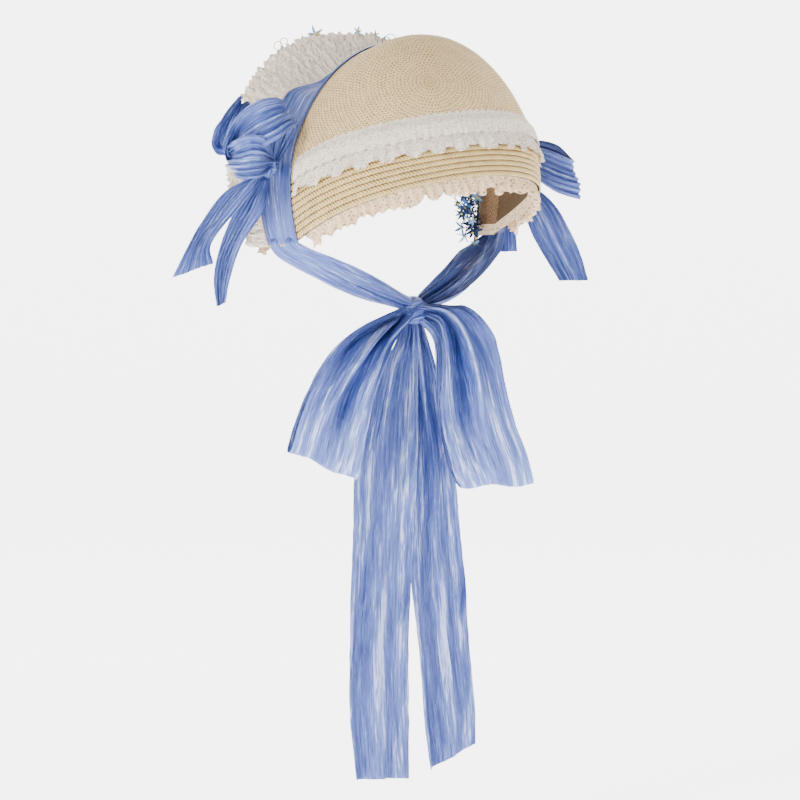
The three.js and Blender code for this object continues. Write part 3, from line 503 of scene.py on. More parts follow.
def ribbon_paint(name, deep, base, pale, painted_highlight, panels):
    """Crinkled satin, its colour painted with light and shade: texture x runs across the ribbon and y
    along it, in 0.1 m.

    panels is how strongly wide patches of it are painted pale: painted highlight panels.
    """
    paint = Paint(name, Metallic=0.3, Roughness=0.3, Specular_IOR_Level=1.0, Anisotropic=0.5)
    paint.shader.inputs["Specular Tint"].default_value = (*linear(226, 232, 255), 1)
    x, y = paint.texture_place()
    line = paint.waves(paint.math("MULTIPLY", x, 62.0), paint.math("MULTIPLY", y, 3.2), 3.0, 0.7)
    crease = paint.waves(paint.math("MULTIPLY", x, 24.0), paint.math("MULTIPLY", y, 2.4), 3.0, 0.6)
    patch = paint.waves(paint.math("MULTIPLY", x, 7.0), paint.math("MULTIPLY", y, 0.55), 2.0, 0.5)
    height = paint.math("MULTIPLY_ADD", line, 0.7, crease)
    # The colour follows the same crinkle noise as the bump: painted highlights on the ridges and painted
    # shade in the hollows, and patch lays wide painted highlight panels over them.
    share = paint.math("ADD", paint.math("MULTIPLY", line, 0.62), paint.math("MULTIPLY", crease, 0.38))
    share = paint.math("MULTIPLY_ADD", patch, panels, paint.math("SUBTRACT", share, panels / 2))
    # The first stop is painted shade and the last two are painted highlights.
    paint.colour(paint.ramp(share, (0.34, deep), (0.46, base), (0.56, pale), (0.63, painted_highlight)))
    paint.bump(height, 0.0024, 1.0)
    return paint.material


def plain_paint(name, colour, roughness=0.8):
    paint = Paint(name, Roughness=roughness, Specular_IOR_Level=0.25)
    paint.shader.inputs["Base Color"].default_value = (*colour, 1)
    return paint.material


straw = weave_paint("straw_weave", linear(232, 200, 146), linear(116, 80, 40))
# A darker copy of the straw for the inner surfaces: painted shade inside the hat.
straw_inside_painted_shade = weave_paint("straw_inside_painted_shade", linear(128, 98, 64), linear(54, 38, 22))
braid = braid_paint("straw_braid", linear(228, 196, 132), linear(84, 56, 26))
lace = lace_paint("cotton_lace", linear(238, 224, 206), linear(142, 126, 118), 0.55, 2.0, 0.0014)
brim_lace = lace_paint("brim_lace", linear(246, 230, 210), linear(170, 146, 120), 0.5, 2.4, 0.0022)
frill = lace_paint("cream_lace", linear(240, 210, 172), linear(120, 94, 70), 0.8, 3.0, 0.002)
# Deep, base, pale and bright blues: the deep one is painted shade, the pale and bright ones painted
# highlights.
SATIN = (linear(46, 62, 130), linear(70, 89, 158), linear(94, 113, 178), linear(172, 184, 228))
satin = ribbon_paint("blue_satin", *SATIN, 0.25)
# The same satin with strong wide panels of painted highlight, for the chin bow.
satin_painted_highlights = ribbon_paint("blue_satin_shine", *SATIN, 0.85)
petal_dark = plain_paint("petal_navy", linear(28, 42, 80))
petal_blue = plain_paint("petal_blue", linear(52, 92, 146))
petal_pale = plain_paint("petal_pale", linear(140, 172, 204))
pollen = plain_paint("pollen", linear(196, 190, 96))
wire = plain_paint("wire", linear(72, 76, 70), 0.5)


# Straw body
TIP = (33, 91, 123)
TIP_CENTRE = (0, 30, 40)
TIP_RADIUS = 100


def ring_place(place):
    """Turn round the weave's tip, and distance from it in 0.1 m."""
    tip = np.subtract(TIP, TIP_CENTRE) / np.linalg.norm(np.subtract(TIP, TIP_CENTRE))
    side = np.cross(tip, (0, 0, 1))
    side = side / np.linalg.norm(side)
    away = place - TIP_CENTRE
    away = away / np.linalg.norm(away, axis=-1, keepdims=True)
    turn = np.arctan2(away @ np.cross(tip, side), away @ side) / (2 * math.pi)
    return np.stack([turn + 0.5, np.arccos(np.clip(away @ tip, -1, 1)) * TIP_RADIUS / 100], -1)


def crown_shell(offset):
    u, v = grid(180, 70)
    around = math.pi * u
    height = height_up(around, seam_height(around) + TOUCH / 2, v, offset)
    place = crown_at(around, height, offset)
    place[..., 1] += TOUCH / 2
    return place


crown_skin = [(crown_shell(0), 0), (crown_shell(-STRAW_WALL), 1)]
build(
    "crown_weave",
    [(place, ring_place(place), kind) for place, kind in crown_skin],
    [straw, straw_inside_painted_shade], ["crown"], round_wrap=True,
)


def neck_shell(offset, rows_out):
    u, v = grid(300, 88)
    around = math.pi * u
    row = v * BRAID_ROWS
    within = row - np.floor(row)
    bulge = rows_out * (1 - np.abs(2 * within - 1) ** 3)
    height = mix(edge_height(around), seam_height(around) - TOUCH / 2, v)
    place = crown_at(around, height, offset + bulge)
    place[..., 1] += TOUCH / 2
    along = lengths(place[:, 0])[:, None] / 100
    return place, np.stack(np.broadcast_arrays(along, row), -1)


build(
    "back_brim_braid",
    [(*neck_shell(-1.0, 1.2), 0), (*neck_shell(-STRAW_WALL, -0.5), 1)],
    [braid, straw_inside_painted_shade], ["back_brim"],
)


def front_shell(offset):
    u, v = grid(150, 24)
    over = math.pi * u
    forward = mix(TOUCH / 2, brim_depth(over), v)
    return brim_at(over, forward, offset), np.stack(
        np.broadcast_arrays(over / (2 * math.pi), (120 + forward) / 100), -1
    )


build(
    "front_brim_weave",
    [(*front_shell(0), 0), (*front_shell(-STRAW_WALL), 1)],
    [straw, straw_inside_painted_shade], ["front_brim"],
)


# Ribbon over the crown
def band_ribbon():
    u, v = grid(260, 60)
    tuck = (RIBBON_WIDTH - BAND_WIDTH) / 2 / BAND_WIDTH
    across = mix(-tuck, 1 + tuck, v)
    under = ease(np.maximum(-across, across - 1), 0, 0.03)  # the edges folded beneath
    v = np.where(across > 1, 2 - across, np.abs(across))
    over = mix(BAND_FOOT, math.pi - BAND_FOOT, u)
    arc = over * BAND_RADIUS
    fold = 0.25 * noise(v * 9, arc / 60, 3) + 0.2 * noise(v * 26, arc / 35, 4)
    hem = sum(0.9 * np.exp(-(((v - line) / 0.02) ** 2)) for line in (0.05, 0.78, 0.86, 0.95))
    forward = mix(band_back(over), band_front(over), v)
    place = brim_at(
        over, forward, BAND_STAND + (RIBBON_WALL / 2 + fold + hem) * (1 - under)
    )
    return place, np.stack(np.broadcast_arrays(v * BAND_WIDTH / 100, arc / 100), -1)


place, texture = band_ribbon()
band = build("band_ribbon", [(place, texture, 0)], [satin], ["ribbon_band"])


# Lace round the back
LACE_START = math.asin((1.5 - (BAND_FORWARD_EAR - BAND_WIDTH / 2)) / (BACK_DEPTH * 0.92))
UPPER_STAND = LACE_STAND + 1 + 3 * TOUCH


def upper_lace():
    u, v = grid(520, 26)
    around = mix(LACE_START, math.pi - LACE_START, u)
    arc = around * LACE_RADIUS
    gather = np.sin(2 * math.pi * arc / 5.5 + 2 * noise(arc / 16, 0, 5)) * ease(1 - v, 0, 1)
    top = ease(v, 0.86, 1) * np.sin(2 * math.pi * arc / 7)
    foot = ease(1 - v, 0.84, 1) * np.sin(2 * math.pi * arc / 9 + 1)
    height = seam_height(around) + mix(1, BAND_UPPER_HEIGHT, v) + 0.7 * top + 0.9 * foot
    stand = mix(UPPER_STAND + 0.8, LACE_STAND + 0.2, ease(v, 0.6, 0.95))
    stand = stand + 0.5 * gather + 0.4 * noise(arc / 7, v * 3, 6)
    return crown_at(around, height, stand), np.stack(
        np.broadcast_arrays(arc / 100, v * BAND_UPPER_HEIGHT / 100), -1
    )


def lower_lace():
    u, v = grid(640, 22)
    around = mix(LACE_START, math.pi - LACE_START, u)
    arc = around * LACE_RADIUS
    swing = np.sin(2 * math.pi * arc / 21 + 1.6 * noise(arc / 40, 0, 7))
    ruffle = np.sin(2 * math.pi * arc / 9.5 + 2.2 * noise(arc / 22, 1, 8))
    hem = (1 - v) ** 1.3
    points_down = np.abs(np.sin(math.pi * arc / 7))
    height = seam_height(around) + mix(-BAND_LOWER_DROP, BAND_HIDDEN, v)
    height = height + hem * (2.2 * swing - 1.4 * points_down + 0.8)
    stand = LACE_STAND + 3.2 * hem * (1 + 0.5 * ruffle + 0.3 * noise(arc / 5, v * 2, 9))
    return crown_at(around, height, stand), np.stack(
        np.broadcast_arrays(arc / 100, v * (BAND_LOWER_DROP + BAND_HIDDEN) / 100), -1
    )


for name, made, node in (
    ("lace_upper_tier", upper_lace, "lace_band_upper"),
    ("lace_lower_tier", lower_lace, "lace_band_lower"),
):
    place, texture = made()
    tier = build(name, [(place, texture, 0)], [lace], [node])

# Gathered frill along the lower edge
CORNER = 0.1


def from_corner(round_):
    return np.minimum(round_, 1 - round_) / CORNER


def edge_at(round_, height, offset):
    around = math.pi * np.clip((round_ - CORNER) / (1 - 2 * CORNER), 0, 1)
    behind = crown_at(around, edge_height(around) + height, offset)
    over = np.arcsin(np.maximum(height, 0) / CROWN_HEIGHT)
    forward = BRIM_DEPTH_EAR * np.maximum(1 - from_corner(round_), 0)
    front = brim_at(np.where(round_ < 0.5, over, math.pi - over), forward, offset)
    front[..., 2] += np.minimum(height, 0)
    return np.where((from_corner(round_) < 1)[..., None], front, behind)


def frill_share(round_):
    around = math.pi * np.clip((round_ - CORNER) / (1 - 2 * CORNER), 0, 1)
    forward = BRIM_DEPTH_EAR * (1 - from_corner(round_))
    behind = BACK_DEPTH * np.sin(around)
    start = BAND_FORWARD_EAR + BAND_WIDTH / 2 + 3
    rear = 5 + BAND_WIDTH / 2 - BAND_FORWARD_EAR
    fore = ease(forward, start - 2, start + 4)
    return np.where(from_corner(round_) < 1, fore, ease(behind, rear, rear + 10))


def edge_ruffle():
    u, v = grid(1500, 24)
    full = frill_share(u)
    arc = u * 500
    drop = np.maximum(1 - v / 0.62, 0)
    beat = 2 * math.pi * arc / 8.6 + 2.6 * noise(arc / 26, 2, 10)
    wave = np.sin(beat) * drop**0.7 * full
    curl = np.cos(beat * 0.5 + 1) * drop**2 * full
    lobe = 3.0 * noise(arc / 8, 3, 11) + 1.2 * noise(arc / 3.2, 7, 12)
    length = FRILL_DROP + lobe - 2.2 * np.abs(np.sin(beat / 2)) ** 3
    length = length * np.where(from_corner(u) < 1, 0.5, 1)
    height = np.where(v < 0.62, -length * full * drop, mix(0, FRILL_HEADER, (v - 0.62) / 0.38))
    inward = STRAW_WALL + TOUCH + 0.5 * (1 - drop)
    crumple = 0.9 * noise(arc / 3.4, v * 5, 13) * drop * full
    place = edge_at(np.broadcast_to(u, height.shape), height, 3.2 * wave + 0.8 * curl + crumple - inward)
    return place, np.stack(np.broadcast_arrays(arc / 100, v * (FRILL_DROP + FRILL_HEADER) / 100), -1)


place, texture = edge_ruffle()
edge = build("edge_ruffle", [(place, texture, 0)], [frill], ["edge_lace"])

# Crumpled tiers of lace on the outside of the front brim
TIERS = 9
TIER_STEPS = (900, 14)


def brim_tier(tier):
    u, v = grid(*TIER_STEPS)
    over = math.pi * u
    arc = over * TIER_RADIUS
    start = band_front(over) + 1
    pitch = (brim_depth(over) - start) / TIERS
    length = (pitch * 2.2 + 2.2) * v
    beat = 2 * math.pi * arc / 6.8 + 3.4 * noise(arc / 10, tier, 12) + tier * 2.1
    wave = np.sin(beat) * v**0.8
    curl = noise(arc / 4.2, tier * 3 + 2 * v, 31 + tier)
    rough = noise(arc / 2.7, tier * 5 + 4 * v, 13 + tier)
    forward = start + tier * pitch + length + (1.3 * np.cos(beat * 0.5 + tier) + 1.6 * curl) * v
    stand = LACE_STAND + 0.4 + 2.4 * ease(v, 0, 0.7) + 1.5 * wave
    stand = stand + (2.1 * rough + 2.4 * curl) * ease(v, 0, 0.4)
    stand = stand - 1.6 * ease(v, 0.82, 1)
    forward = np.minimum(forward, brim_depth(over) + 2.5 + 1.6 * rough)
    return brim_at(over, forward, np.maximum(stand, LACE_STAND)), np.stack(
        np.broadcast_arrays(arc / 100, v * 0.14), -1
    )


for part in range(3):
    tiers = [brim_tier(part * 3 + k) for k in range(3)]
    made = build(
        f"brim_lace_{part + 1}", [(p, t, 0) for p, t in tiers], [brim_lace],
        [f"brim_ruffle_{part + 1}"]
    )


# Ribbons. Each row is side, up, toward, sideW, upW, towardW, cup, pleat, as in the solids:
# the middle of the ribbon, its half width, how far the middle bows out, and its pleats.
def curve(values, t):
    """Catmull-Rom curve through evenly spaced values."""
    values = np.asarray(values, float)
    ends = np.concatenate([[2 * values[0] - values[1]], values, [2 * values[-1] - values[-2]]])
    at = t * (len(values) - 1)
    k = np.minimum(np.floor(at).astype(int), len(values) - 2)
    w = at - k
    a, b, c, d = ends[k], ends[k + 1], ends[k + 2], ends[k + 3]
    p, q = 0.5 * (c - a), 0.5 * (d - b)
    return b + p * w + (3 * (c - b) - 2 * p - q) * w**2 + (2 * (b - c) + p + q) * w**3


def strip(rows, axes, size, steps, seed, folds, crush, creases, pleats):
    """Points and texture places of a ribbon with crinkles that run along it.

    Each crease runs from one place across the ribbon to another: start, end, height in mm,
    width as a share, and the share of the length at which it has faded. Pleats are as deep as
    takes up the cut width where the ribbon lies narrower, up to PLEAT_MOST.
    """
    origin, side, upward, toward = (np.array(a, float) for a in axes)
    reach, fall, depth, width = size
    t = np.linspace(0, 1, steps[0] + 1)
    v = np.linspace(0, 1, steps[1] + 1)[None, :]
    s, z, w, s_half, z_half, w_half, cup, pleat = (curve(c, t)[:, None] for c in zip(*rows))
    middle = origin + s * reach * side + z * fall * upward + w * depth * toward
    half = (s_half * side + z_half * upward + w_half * toward) * width / 2
    normal = np.cross(np.gradient(middle, axis=0), half)
    normal = normal / np.linalg.norm(normal, axis=1, keepdims=True)
    along = lengths(middle)[:, None]
    gather = np.clip(1 - np.linalg.norm(half, axis=1)[:, None] / (width / 2), 0, 1)
    line = 2 * v - 1
    bend = (1 - line**2) * cup * width
    large = np.cos(math.pi * folds * v + 1.3 * noise(along / 55, 0, seed)) * pleat * width
    wander = v * width + 5 * noise(along / 38, 0, seed + 4)
    ridges = 1 - np.abs(noise(wander / 10, along / 95, seed + 5)) * 2
    if creases:
        crush = crush * (1 - 0.8 * np.exp(-(((t[:, None] - 0.55) / 0.16) ** 2)))
    ridges = crush * (1.0 + 4.4 * gather) * ridges
    middling = crush * (0.6 + 2.0 * gather) * noise(wander / 4.6 + 3, along / 60, seed + 1)
    small = (0.3 + 0.5 * gather) * noise(v * width / 1.8, along / 30, seed + 2)
    fold = 0
    if pleats:
        spread = np.maximum(2 * np.linalg.norm(half, axis=1)[:, None], 1)
        spare = np.maximum(width / spread - 1, 0)
        deep = np.minimum(spread * np.sqrt(spare) / (math.pi * pleats), PLEAT_MOST)
        shift = 0.03 * noise(along / 40, v * 3, seed + 6)
        fold = deep * np.cos(2 * math.pi * pleats * (v + shift))
    for start, end, height, wide, until in creases:
        path = mix(start, end, t[:, None] / until)
        fade = ease(t[:, None], 0, 0.06) * (1 - ease(t[:, None], 0.6 * until, until))
        fold = fold + height * fade * np.exp(-(((v - path) / wide) ** 2))
    edge = 1 + 0.012 * noise(along / 9, 5, seed + 3)
    place = middle[:, None] + half[:, None] * (line * edge)[..., None]
    place = place + normal[:, None] * (bend + large + ridges + middling + small + fold)[..., None]
    return place, np.stack(np.broadcast_arrays(v * width / 100, along / 100), -1)


UP = (0, 0, 1)


def ribbon(name, node, rows, axes, size, seed, steps, folds=3, crush=1.0,
           paint=satin, creases=(), pleats=0):
    place, texture = strip(rows, axes, size, steps, seed, folds, crush, creases, pleats)
    piece = build(name, [(place, texture, 0)], [paint], [node])


# Ties. Each row is across, down, band, side, up, cup.
TIE = [
    (0, 0.0, 1, 0, 0, 0),
    (0.0, 0.08, 1, 0, 0, 0),
    (0.09, 0.22, 0.5, 0.34, 0.1, 0),
    (0.27, 0.38, 0, 0.6, 0.22, 0.02),
    (0.5, 0.6, 0, 0.4, 0.32, 0.04),
    (0.73, 0.8, 0, 0.26, 0.3, 0.06),
    (0.91, 0.94, 0, 0.16, 0.22, 0.08),
    (1, 1, 0, 0.1, 0.18, 0.08),
]


def tie_rows(sign, slack):
    over = BAND_FOOT if sign > 0 else math.pi - BAND_FOOT
    stand = BAND_STAND + RIBBON_WALL / 2
    rear = brim_at(over, band_back(over), stand)
    fore = brim_at(over, band_front(over), stand)
    start = (rear + fore) / 2 + np.array([-0.9 * sign, 0, 4])
    end = np.array(KNOT) + [sign * KNOT_SIZE[0] * 0.45, 0, KNOT_SIZE[2] * 0.4]
    half = (rear - fore) / RIBBON_WIDTH
    rows = []
    for across, down, over_band, side, rise, cup in TIE:
        lower = down + slack * math.sin(math.pi * down)
        rows.append((
            mix(start[0], end[0], across),
            mix(start[2], end[2], lower),
            mix(start[1], end[1], across),
            half[0] * over_band - 0.18 * rise,
            half[2] * over_band + sign * rise,
            half[1] * over_band + side,
            cup * sign,
            0.02 if down > 0.2 else 0,
        ))
    return rows


plain_axes = ((0, 0, 0), (1, 0, 0), UP, (0, 1, 0))
for hand, sign, slack, seed in (("left", 1, 0, 20), ("right", -1, 0.08, 30)):
    ribbon(
        f"tie_{hand}_ribbon", f"tie_{hand}", tie_rows(sign, slack), plain_axes,
        (1, 1, 1, RIBBON_WIDTH), seed, steps=(110, 48),
    )

# Chin bow
LOOP_LEFT = [
    (-0.05, 0.0, 0.12, 0.08, -0.14, 0, 0, 0.07),
    (-0.33, -0.12, 0.5, 0.27, -0.29, 0, 0, 0.06),
    (-0.51, -0.22, 0.72, 0.45, -0.4, 0, 0.05, 0.04),
    (-0.66, -0.35, 0.82, 0.59, -0.54, 0, 0.07, 0.03),
    (-0.8, -0.52, 0.8, 0.78, -0.4, 0, 0.05, 0.03),
    (-0.9, -0.72, 0.7, 0.9, -0.37, 0, 0.02, 0.02),
    (-0.97, -0.94, 0.48, 0.94, -0.41, 0, 0, 0.02),
    (-0.985, -0.985, 0.2, 0.95, -0.41, 0, 0, 0.02),
    (-0.96, -0.93, -0.1, 0.93, -0.41, 0, 0, 0.02),
    (-0.85, -0.66, -0.24, 0.8, -0.38, 0, 0, 0.02),
    (-0.66, -0.38, -0.26, 0.56, -0.44, 0, 0, 0.03),
    (-0.4, -0.16, -0.22, 0.3, -0.28, 0, 0, 0.05),
    (-0.05, -0.01, -0.1, 0.08, -0.14, 0, 0, 0.06),
]
LOOP_RIGHT = [
    (0.05, 0.01, 0.12, -0.03, -0.18, 0, 0, 0.07),
    (0.29, -0.02, 0.5, -0.16, -0.29, 0, 0, 0.06),
    (0.4, -0.085, 0.72, -0.36, -0.57, 0, 0.05, 0.04),
    (0.49, -0.21, 0.84, -0.59, -0.81, 0, 0.07, 0.03),
    (0.56, -0.36, 0.84, -0.82, -0.91, 0, 0.06, 0.03),
    (0.64, -0.56, 0.8, -0.89, -0.73, 0, 0.03, 0.03),
    (0.75, -0.74, 0.7, -0.96, -0.51, 0, 0.02, 0.02),
    (0.88, -0.89, 0.54, -1.06, -0.28, 0, 0, 0.02),
    (0.98, -0.985, 0.2, -1.05, -0.03, 0, 0, 0.02),
    (0.91, -0.92, -0.12, -1.0, -0.16, 0, 0, 0.02),
    (0.74, -0.7, -0.24, -0.84, -0.46, 0, 0, 0.02),
    (0.54, -0.36, -0.24, -0.6, -0.66, 0, 0, 0.03),
    (0.36, -0.1, -0.2, -0.22, -0.4, 0, 0, 0.05),
    (0.05, -0.01, -0.1, -0.04, -0.18, 0, 0, 0.06),
]
TAIL_LEFT = [
    (-0.04, -0.005, -0.04, 0.18, 0, 0, 0, 0.06),
    (-0.1, -0.075, -0.12, 0.36, 0, 0, 0, 0.06),
    (-0.18, -0.13, -0.22, 0.58, 0, 0, 0, 0.05),
    (-0.32, -0.3, -0.26, 0.88, 0, 0, 0, 0.035),
    (-0.37, -0.47, -0.24, 0.88, 0, 0, 0, 0.03),
    (-0.42, -0.64, -0.24, 0.86, 0, 0, 0, 0.03),
    (-0.43, -0.85, -0.24, 0.86, 0, 0, 0, 0.03),
    (-0.38, -1, -0.24, 0.76, 0, 0, 0, 0.04),
]
TAIL_RIGHT = [
    (0.05, -0.005, -0.06, 0.13, 0, 0, 0, 0.05),
    (0.24, -0.12, -0.4, 0.36, 0, 0, 0, 0.06),
    (0.4, -0.3, -0.5, 0.56, 0, 0, 0, 0.05),
    (0.46, -0.5, -0.52, 0.72, 0, 0, 0, 0.04),
    (0.51, -0.62, -0.52, 0.78, 0, 0, 0, 0.03),
    (0.6, -0.76, -0.52, 0.76, 0, 0, 0, 0.03),
    (0.68, -0.9, -0.52, 0.76, 0.1, 0, 0, 0.03),
    (0.73, -1, -0.52, 0.68, 0.34, 0, 0, 0.03),
]
turned = math.radians(180 - CHIN_TURN)
chin_axes = (
    KNOT, (math.cos(turned), math.sin(turned), 0), UP, (math.sin(turned), -math.cos(turned), 0)
)
CREASES_LEFT = [
    (0.52, 0.3, 9, 0.09, 0.5),
    (0.6, 0.56, -9, 0.08, 0.5),
    (0.7, 0.9, 6, 0.08, 0.42),
    (0.34, 0.08, -6, 0.08, 0.36),
]
CREASES_RIGHT = [
    (0.5, 0.66, 9, 0.09, 0.5),
    (0.42, 0.4, -9, 0.08, 0.5),
    (0.32, 0.12, 6, 0.08, 0.4),
    (0.66, 0.92, -6, 0.07, 0.36),
]
for name, node, rows, reach, fall, seed, creases in (
    ("chin_loop_left_ribbon", "chin_loop_left", LOOP_LEFT, 78, 126, 40, CREASES_LEFT),
    ("chin_loop_right_ribbon", "chin_loop_right", LOOP_RIGHT, 71, 144, 50, CREASES_RIGHT),
):
    ribbon(
        name, node, rows, chin_axes, (reach, fall, LOOP_DEPTH, RIBBON_WIDTH),
        seed, steps=(300, 88), paint=satin_painted_highlights,
        creases=creases,
    )
for name, node, rows, length, seed in (
    ("chin_tail_left_ribbon", "chin_tail_left", TAIL_LEFT, 378, 60),
    ("chin_tail_right_ribbon", "chin_tail_right", TAIL_RIGHT, 364, 70),
):
    ribbon(
        name, node, rows, chin_axes, (RIBBON_WIDTH, length, RIBBON_WIDTH, RIBBON_WIDTH),
        seed, folds=4, steps=(260, 72), paint=satin_painted_highlights,
    )


# Knots: the ribbon wound over itself, folded lengthwise
def knot_ball(name, node, centre, axes, size, wraps, slope, seed):
    side, upward, toward = (np.array(a, float) for a in axes[1:])
    wide, deep, tall = size
    u, v = grid(120, 60)
    turn = 2 * math.pi * u
    rise = math.pi * (v - 0.5) * 0.999
    lane = wraps * (turn * 0.5 + slope * rise) + 1.6 * noise(3 * u, 2 * v, seed)
    groove = 2 * np.abs(np.cos(lane)) - 1 + 0.5 * noise(9 * u + 2 * v, 7 * v, seed)
    swell = (0.84 + 0.2 * groove * np.cos(rise))[..., None]
    place = np.array(centre) + swell * (
        wide * (np.cos(rise) * np.cos(turn))[..., None] * side
        + deep * (np.cos(rise) * np.sin(turn))[..., None] * toward
    ) + tall * (np.sin(rise) + 0 * turn)[..., None] * upward
    texture = np.stack(np.broadcast_arrays(v * 0.3 + slope * u * 0.1, u * 0.6), -1)
    build(name, [(place, texture, 0)], [satin], [node])


knot_ball("chin_knot_wrap", "chin_knot", KNOT, chin_axes, CHIN_WRAP, 5, 0.9, 80)

# Bows at the ears
BOWS = {
    "left": {
        "loop_rear": [
            (0.04, 0.08, 0.36, 0.14, 0.06, 0.04, 0, 0.05),
            (-0.04, 0.42, 0.36, 0.4, 0.06, -0.16, 0, 0.02),
            (-0.2, 0.82, 0.44, 0.36, 0.3, -0.3, 0, 0.02),
            (-0.24, 1.02, 0.68, 0.26, 0.46, -0.04, 0, 0.02),
            (0.08, 0.88, 0.96, 0.3, 0.66, 0, 0.06, 0.02),
            (0.48, 0.66, 0.94, 0.26, 0.66, 0.06, 0.08, 0.03),
            (0.8, 0.42, 0.66, 0.12, 0.5, 0.1, 0.04, 0.08),
            (0.78, 0.26, 0.4, 0.02, 0.34, 0.04, 0, 0.08),
            (0.14, 0.1, 0.34, 0, 0.14, 0, 0, 0.05),
        ],
        "loop_fore": [
            (0.02, 0.1, 0.46, 0, 0.2, 0, 0, 0.06),
            (0.16, 0.14, 0.96, 0, 0.62, 0, 0.08, 0.02),
            (0.46, 0.14, 1.14, 0, 0.74, 0, 0.12, 0.02),
            (0.74, 0.1, 0.98, 0, 0.66, 0, 0.08, 0.03),
            (0.88, 0.1, 0.6, 0, 0.5, 0, 0, 0.06),
            (0.7, 0.08, 0.34, 0, 0.4, 0, 0, 0.05),
            (0.1, 0.04, 0.3, 0, 0.16, 0, 0, 0.05),
        ],
        "loop_crest": [
            (0.14, 0.12, 0.2, 0.06, 0.04, 0.1, 0, 0.04),
            (0.5, 0.6, 0.18, 0.44, 0.06, 0.2, 0, 0.02),
            (0.62, 1.1, 0.26, 0.3, 0.2, 0.1, 0, 0.02),
            (0.6, 1.26, 0.4, 0.2, 0.16, 0, 0, 0.02),
            (0.8, 1.02, 0.56, 0.42, -0.2, 0, 0.03, 0.02),
            (0.94, 0.62, 0.6, 0.46, 0, 0, 0.03, 0.06),
            (0.98, 0.3, 0.5, 0.3, 0.1, 0, 0, 0.1),
            (0.4, 0.14, 0.3, 0.1, 0.12, 0, 0, 0.06),
        ],
        "tail_long": [
            (0.24, -0.1, -0.06, -0.06, 0, 0.2, 0, 0.04),
            (0.46, -0.3, -0.22, -0.2, 0, 0.46, 0, 0.04),
            (0.74, -0.56, -0.5, -0.2, 0.1, 0.34, 0, 0.03),
            (0.86, -0.78, -0.62, -0.14, 0.02, 0.26, 0, 0.03),
            (0.86, -0.96, -0.66, -0.08, 0.06, 0.12, 0, 0.03),
        ],
        "tail_wide": [
            (0.35, -0.07, -0.14, -0.05, 0.02, 0.16, 0, 0.03),
            (0.58, -0.16, -0.4, -0.28, 0.08, 0.5, 0, 0.03),
            (0.88, -0.34, -0.68, -0.34, 0.18, 0.54, 0, 0.03),
            (1.2, -0.54, -0.9, -0.26, 0.04, 0.32, 0, 0.03),
            (1.3, -0.72, -1.0, -0.44, 0.24, 0.58, 0, 0.03),
        ],
    },
    "right": {
        "loop_rear": [
            (0.34, 0.08, 0.12, 0, 0.24, 0, 0, 0.04),
            (0.74, 0.04, 0.46, -0.1, 0.66, 0, -0.06, 0.02),
            (1.06, -0.16, 0.92, -0.1, 0.82, -0.1, -0.04, 0),
            (1.1, -0.4, 1.34, -0.1, 0.7, -0.16, 0, 0.02),
            (0.72, -0.24, 1.04, -0.1, 0.74, 0, 0, 0.02),
            (0.42, 0, 0.6, 0, 0.5, 0, 0, 0.02),
            (0.3, 0.02, 0.3, 0, 0.24, 0, 0, 0.03),
        ],
        "loop_fore": [
            (0.32, 0.06, -0.12, 0, 0.24, 0, 0, 0.03),
            (0.74, 0.1, -0.46, 0, 0.64, 0, 0.06, 0.02),
            (0.9, 0.1, -0.8, 0, 0.8, 0, 0.04, 0.02),
            (0.8, 0.08, -1.0, 0, 0.8, 0, 0, 0.02),
            (0.58, 0.06, -0.8, 0, 0.64, 0, 0, 0.02),
            (0.46, 0.04, -0.5, 0, 0.3, 0, 0, 0.03),
        ],
        "tail_long": [
            (0.26, -0.1, 0.12, 0.05, 0, 0.2, 0, 0.04),
            (0.62, -0.3, 0.6, 0.2, 0, 0.66, 0, 0.03),
            (0.88, -0.6, 0.94, 0.26, 0, 0.76, 0, 0.03),
            (1.08, -0.88, 1.26, 0.22, 0, 0.54, 0, 0.03),
        ],
        "tail_wide": [
            (0.3, -0.07, -0.15, 0.04, 0, 0.14, 0, 0.03),
            (0.52, -0.36, -0.3, 0.1, 0, 0.4, 0, 0.03),
            (0.5, -0.66, -0.26, 0.14, 0, 0.52, 0, 0.03),
        ],
    },
}
BOW_LEFT_TURN = math.radians(36)  # the left loops' face, from the side towards the back
for hand, sign in (("left", 1), ("right", -1)):
    over = math.asin(BOW_HEIGHT / CROWN_HEIGHT)
    where = over if sign > 0 else math.pi - over
    seat = brim_at(where, band_middle(over), BAND_STAND + RIBBON_WALL)
    axes = (seat, (sign, 0, 0), UP, (0, 1, 0))
    turn = BOW_LEFT_TURN if sign > 0 else 0
    facing = (seat, (sign * math.cos(turn), -math.sin(turn), 0), UP, (math.sin(turn), math.cos(turn), 0))
    for k, (part, rows) in enumerate(BOWS[hand].items()):
        tail = part.startswith("tail")
        fall = BOW_TAIL if tail else BOW_SPREAD
        rows = [(*row[:6], row[6] * sign, row[7]) for row in rows]
        ribbon(
            f"bow_{hand}_{part}_ribbon", f"bow_{hand}_{part}", rows, axes if tail else facing,
            (BOW_SPREAD, fall, BOW_SPREAD, BOW_RIBBON),
            90 + 10 * k + (50 if sign > 0 else 0), steps=(130, 56),
            crush=0.45, pleats=BOW_PLEATS,
        )
    centre = seat + np.array([sign * (BOW_CENTRE * 0.6 + 3 * TOUCH), 0, 0])
    knot_ball(
        f"bow_{hand}_wrap", f"bow_{hand}_centre", centre, axes,
        (BOW_CENTRE * 0.6, BOW_CENTRE * 0.7, BOW_CENTRE * 0.8), 4, 0.4, 85 + sign,
    )

# Flowers along the front edge inside
PETALS = 5
POLLEN, WIRE = 3, 4  # places in a garland's list of materials
FLORETS = 20
FLORETS_FAR = 56
random = np.random.default_rng(7)


def unit(a):
    return a / np.linalg.norm(a)


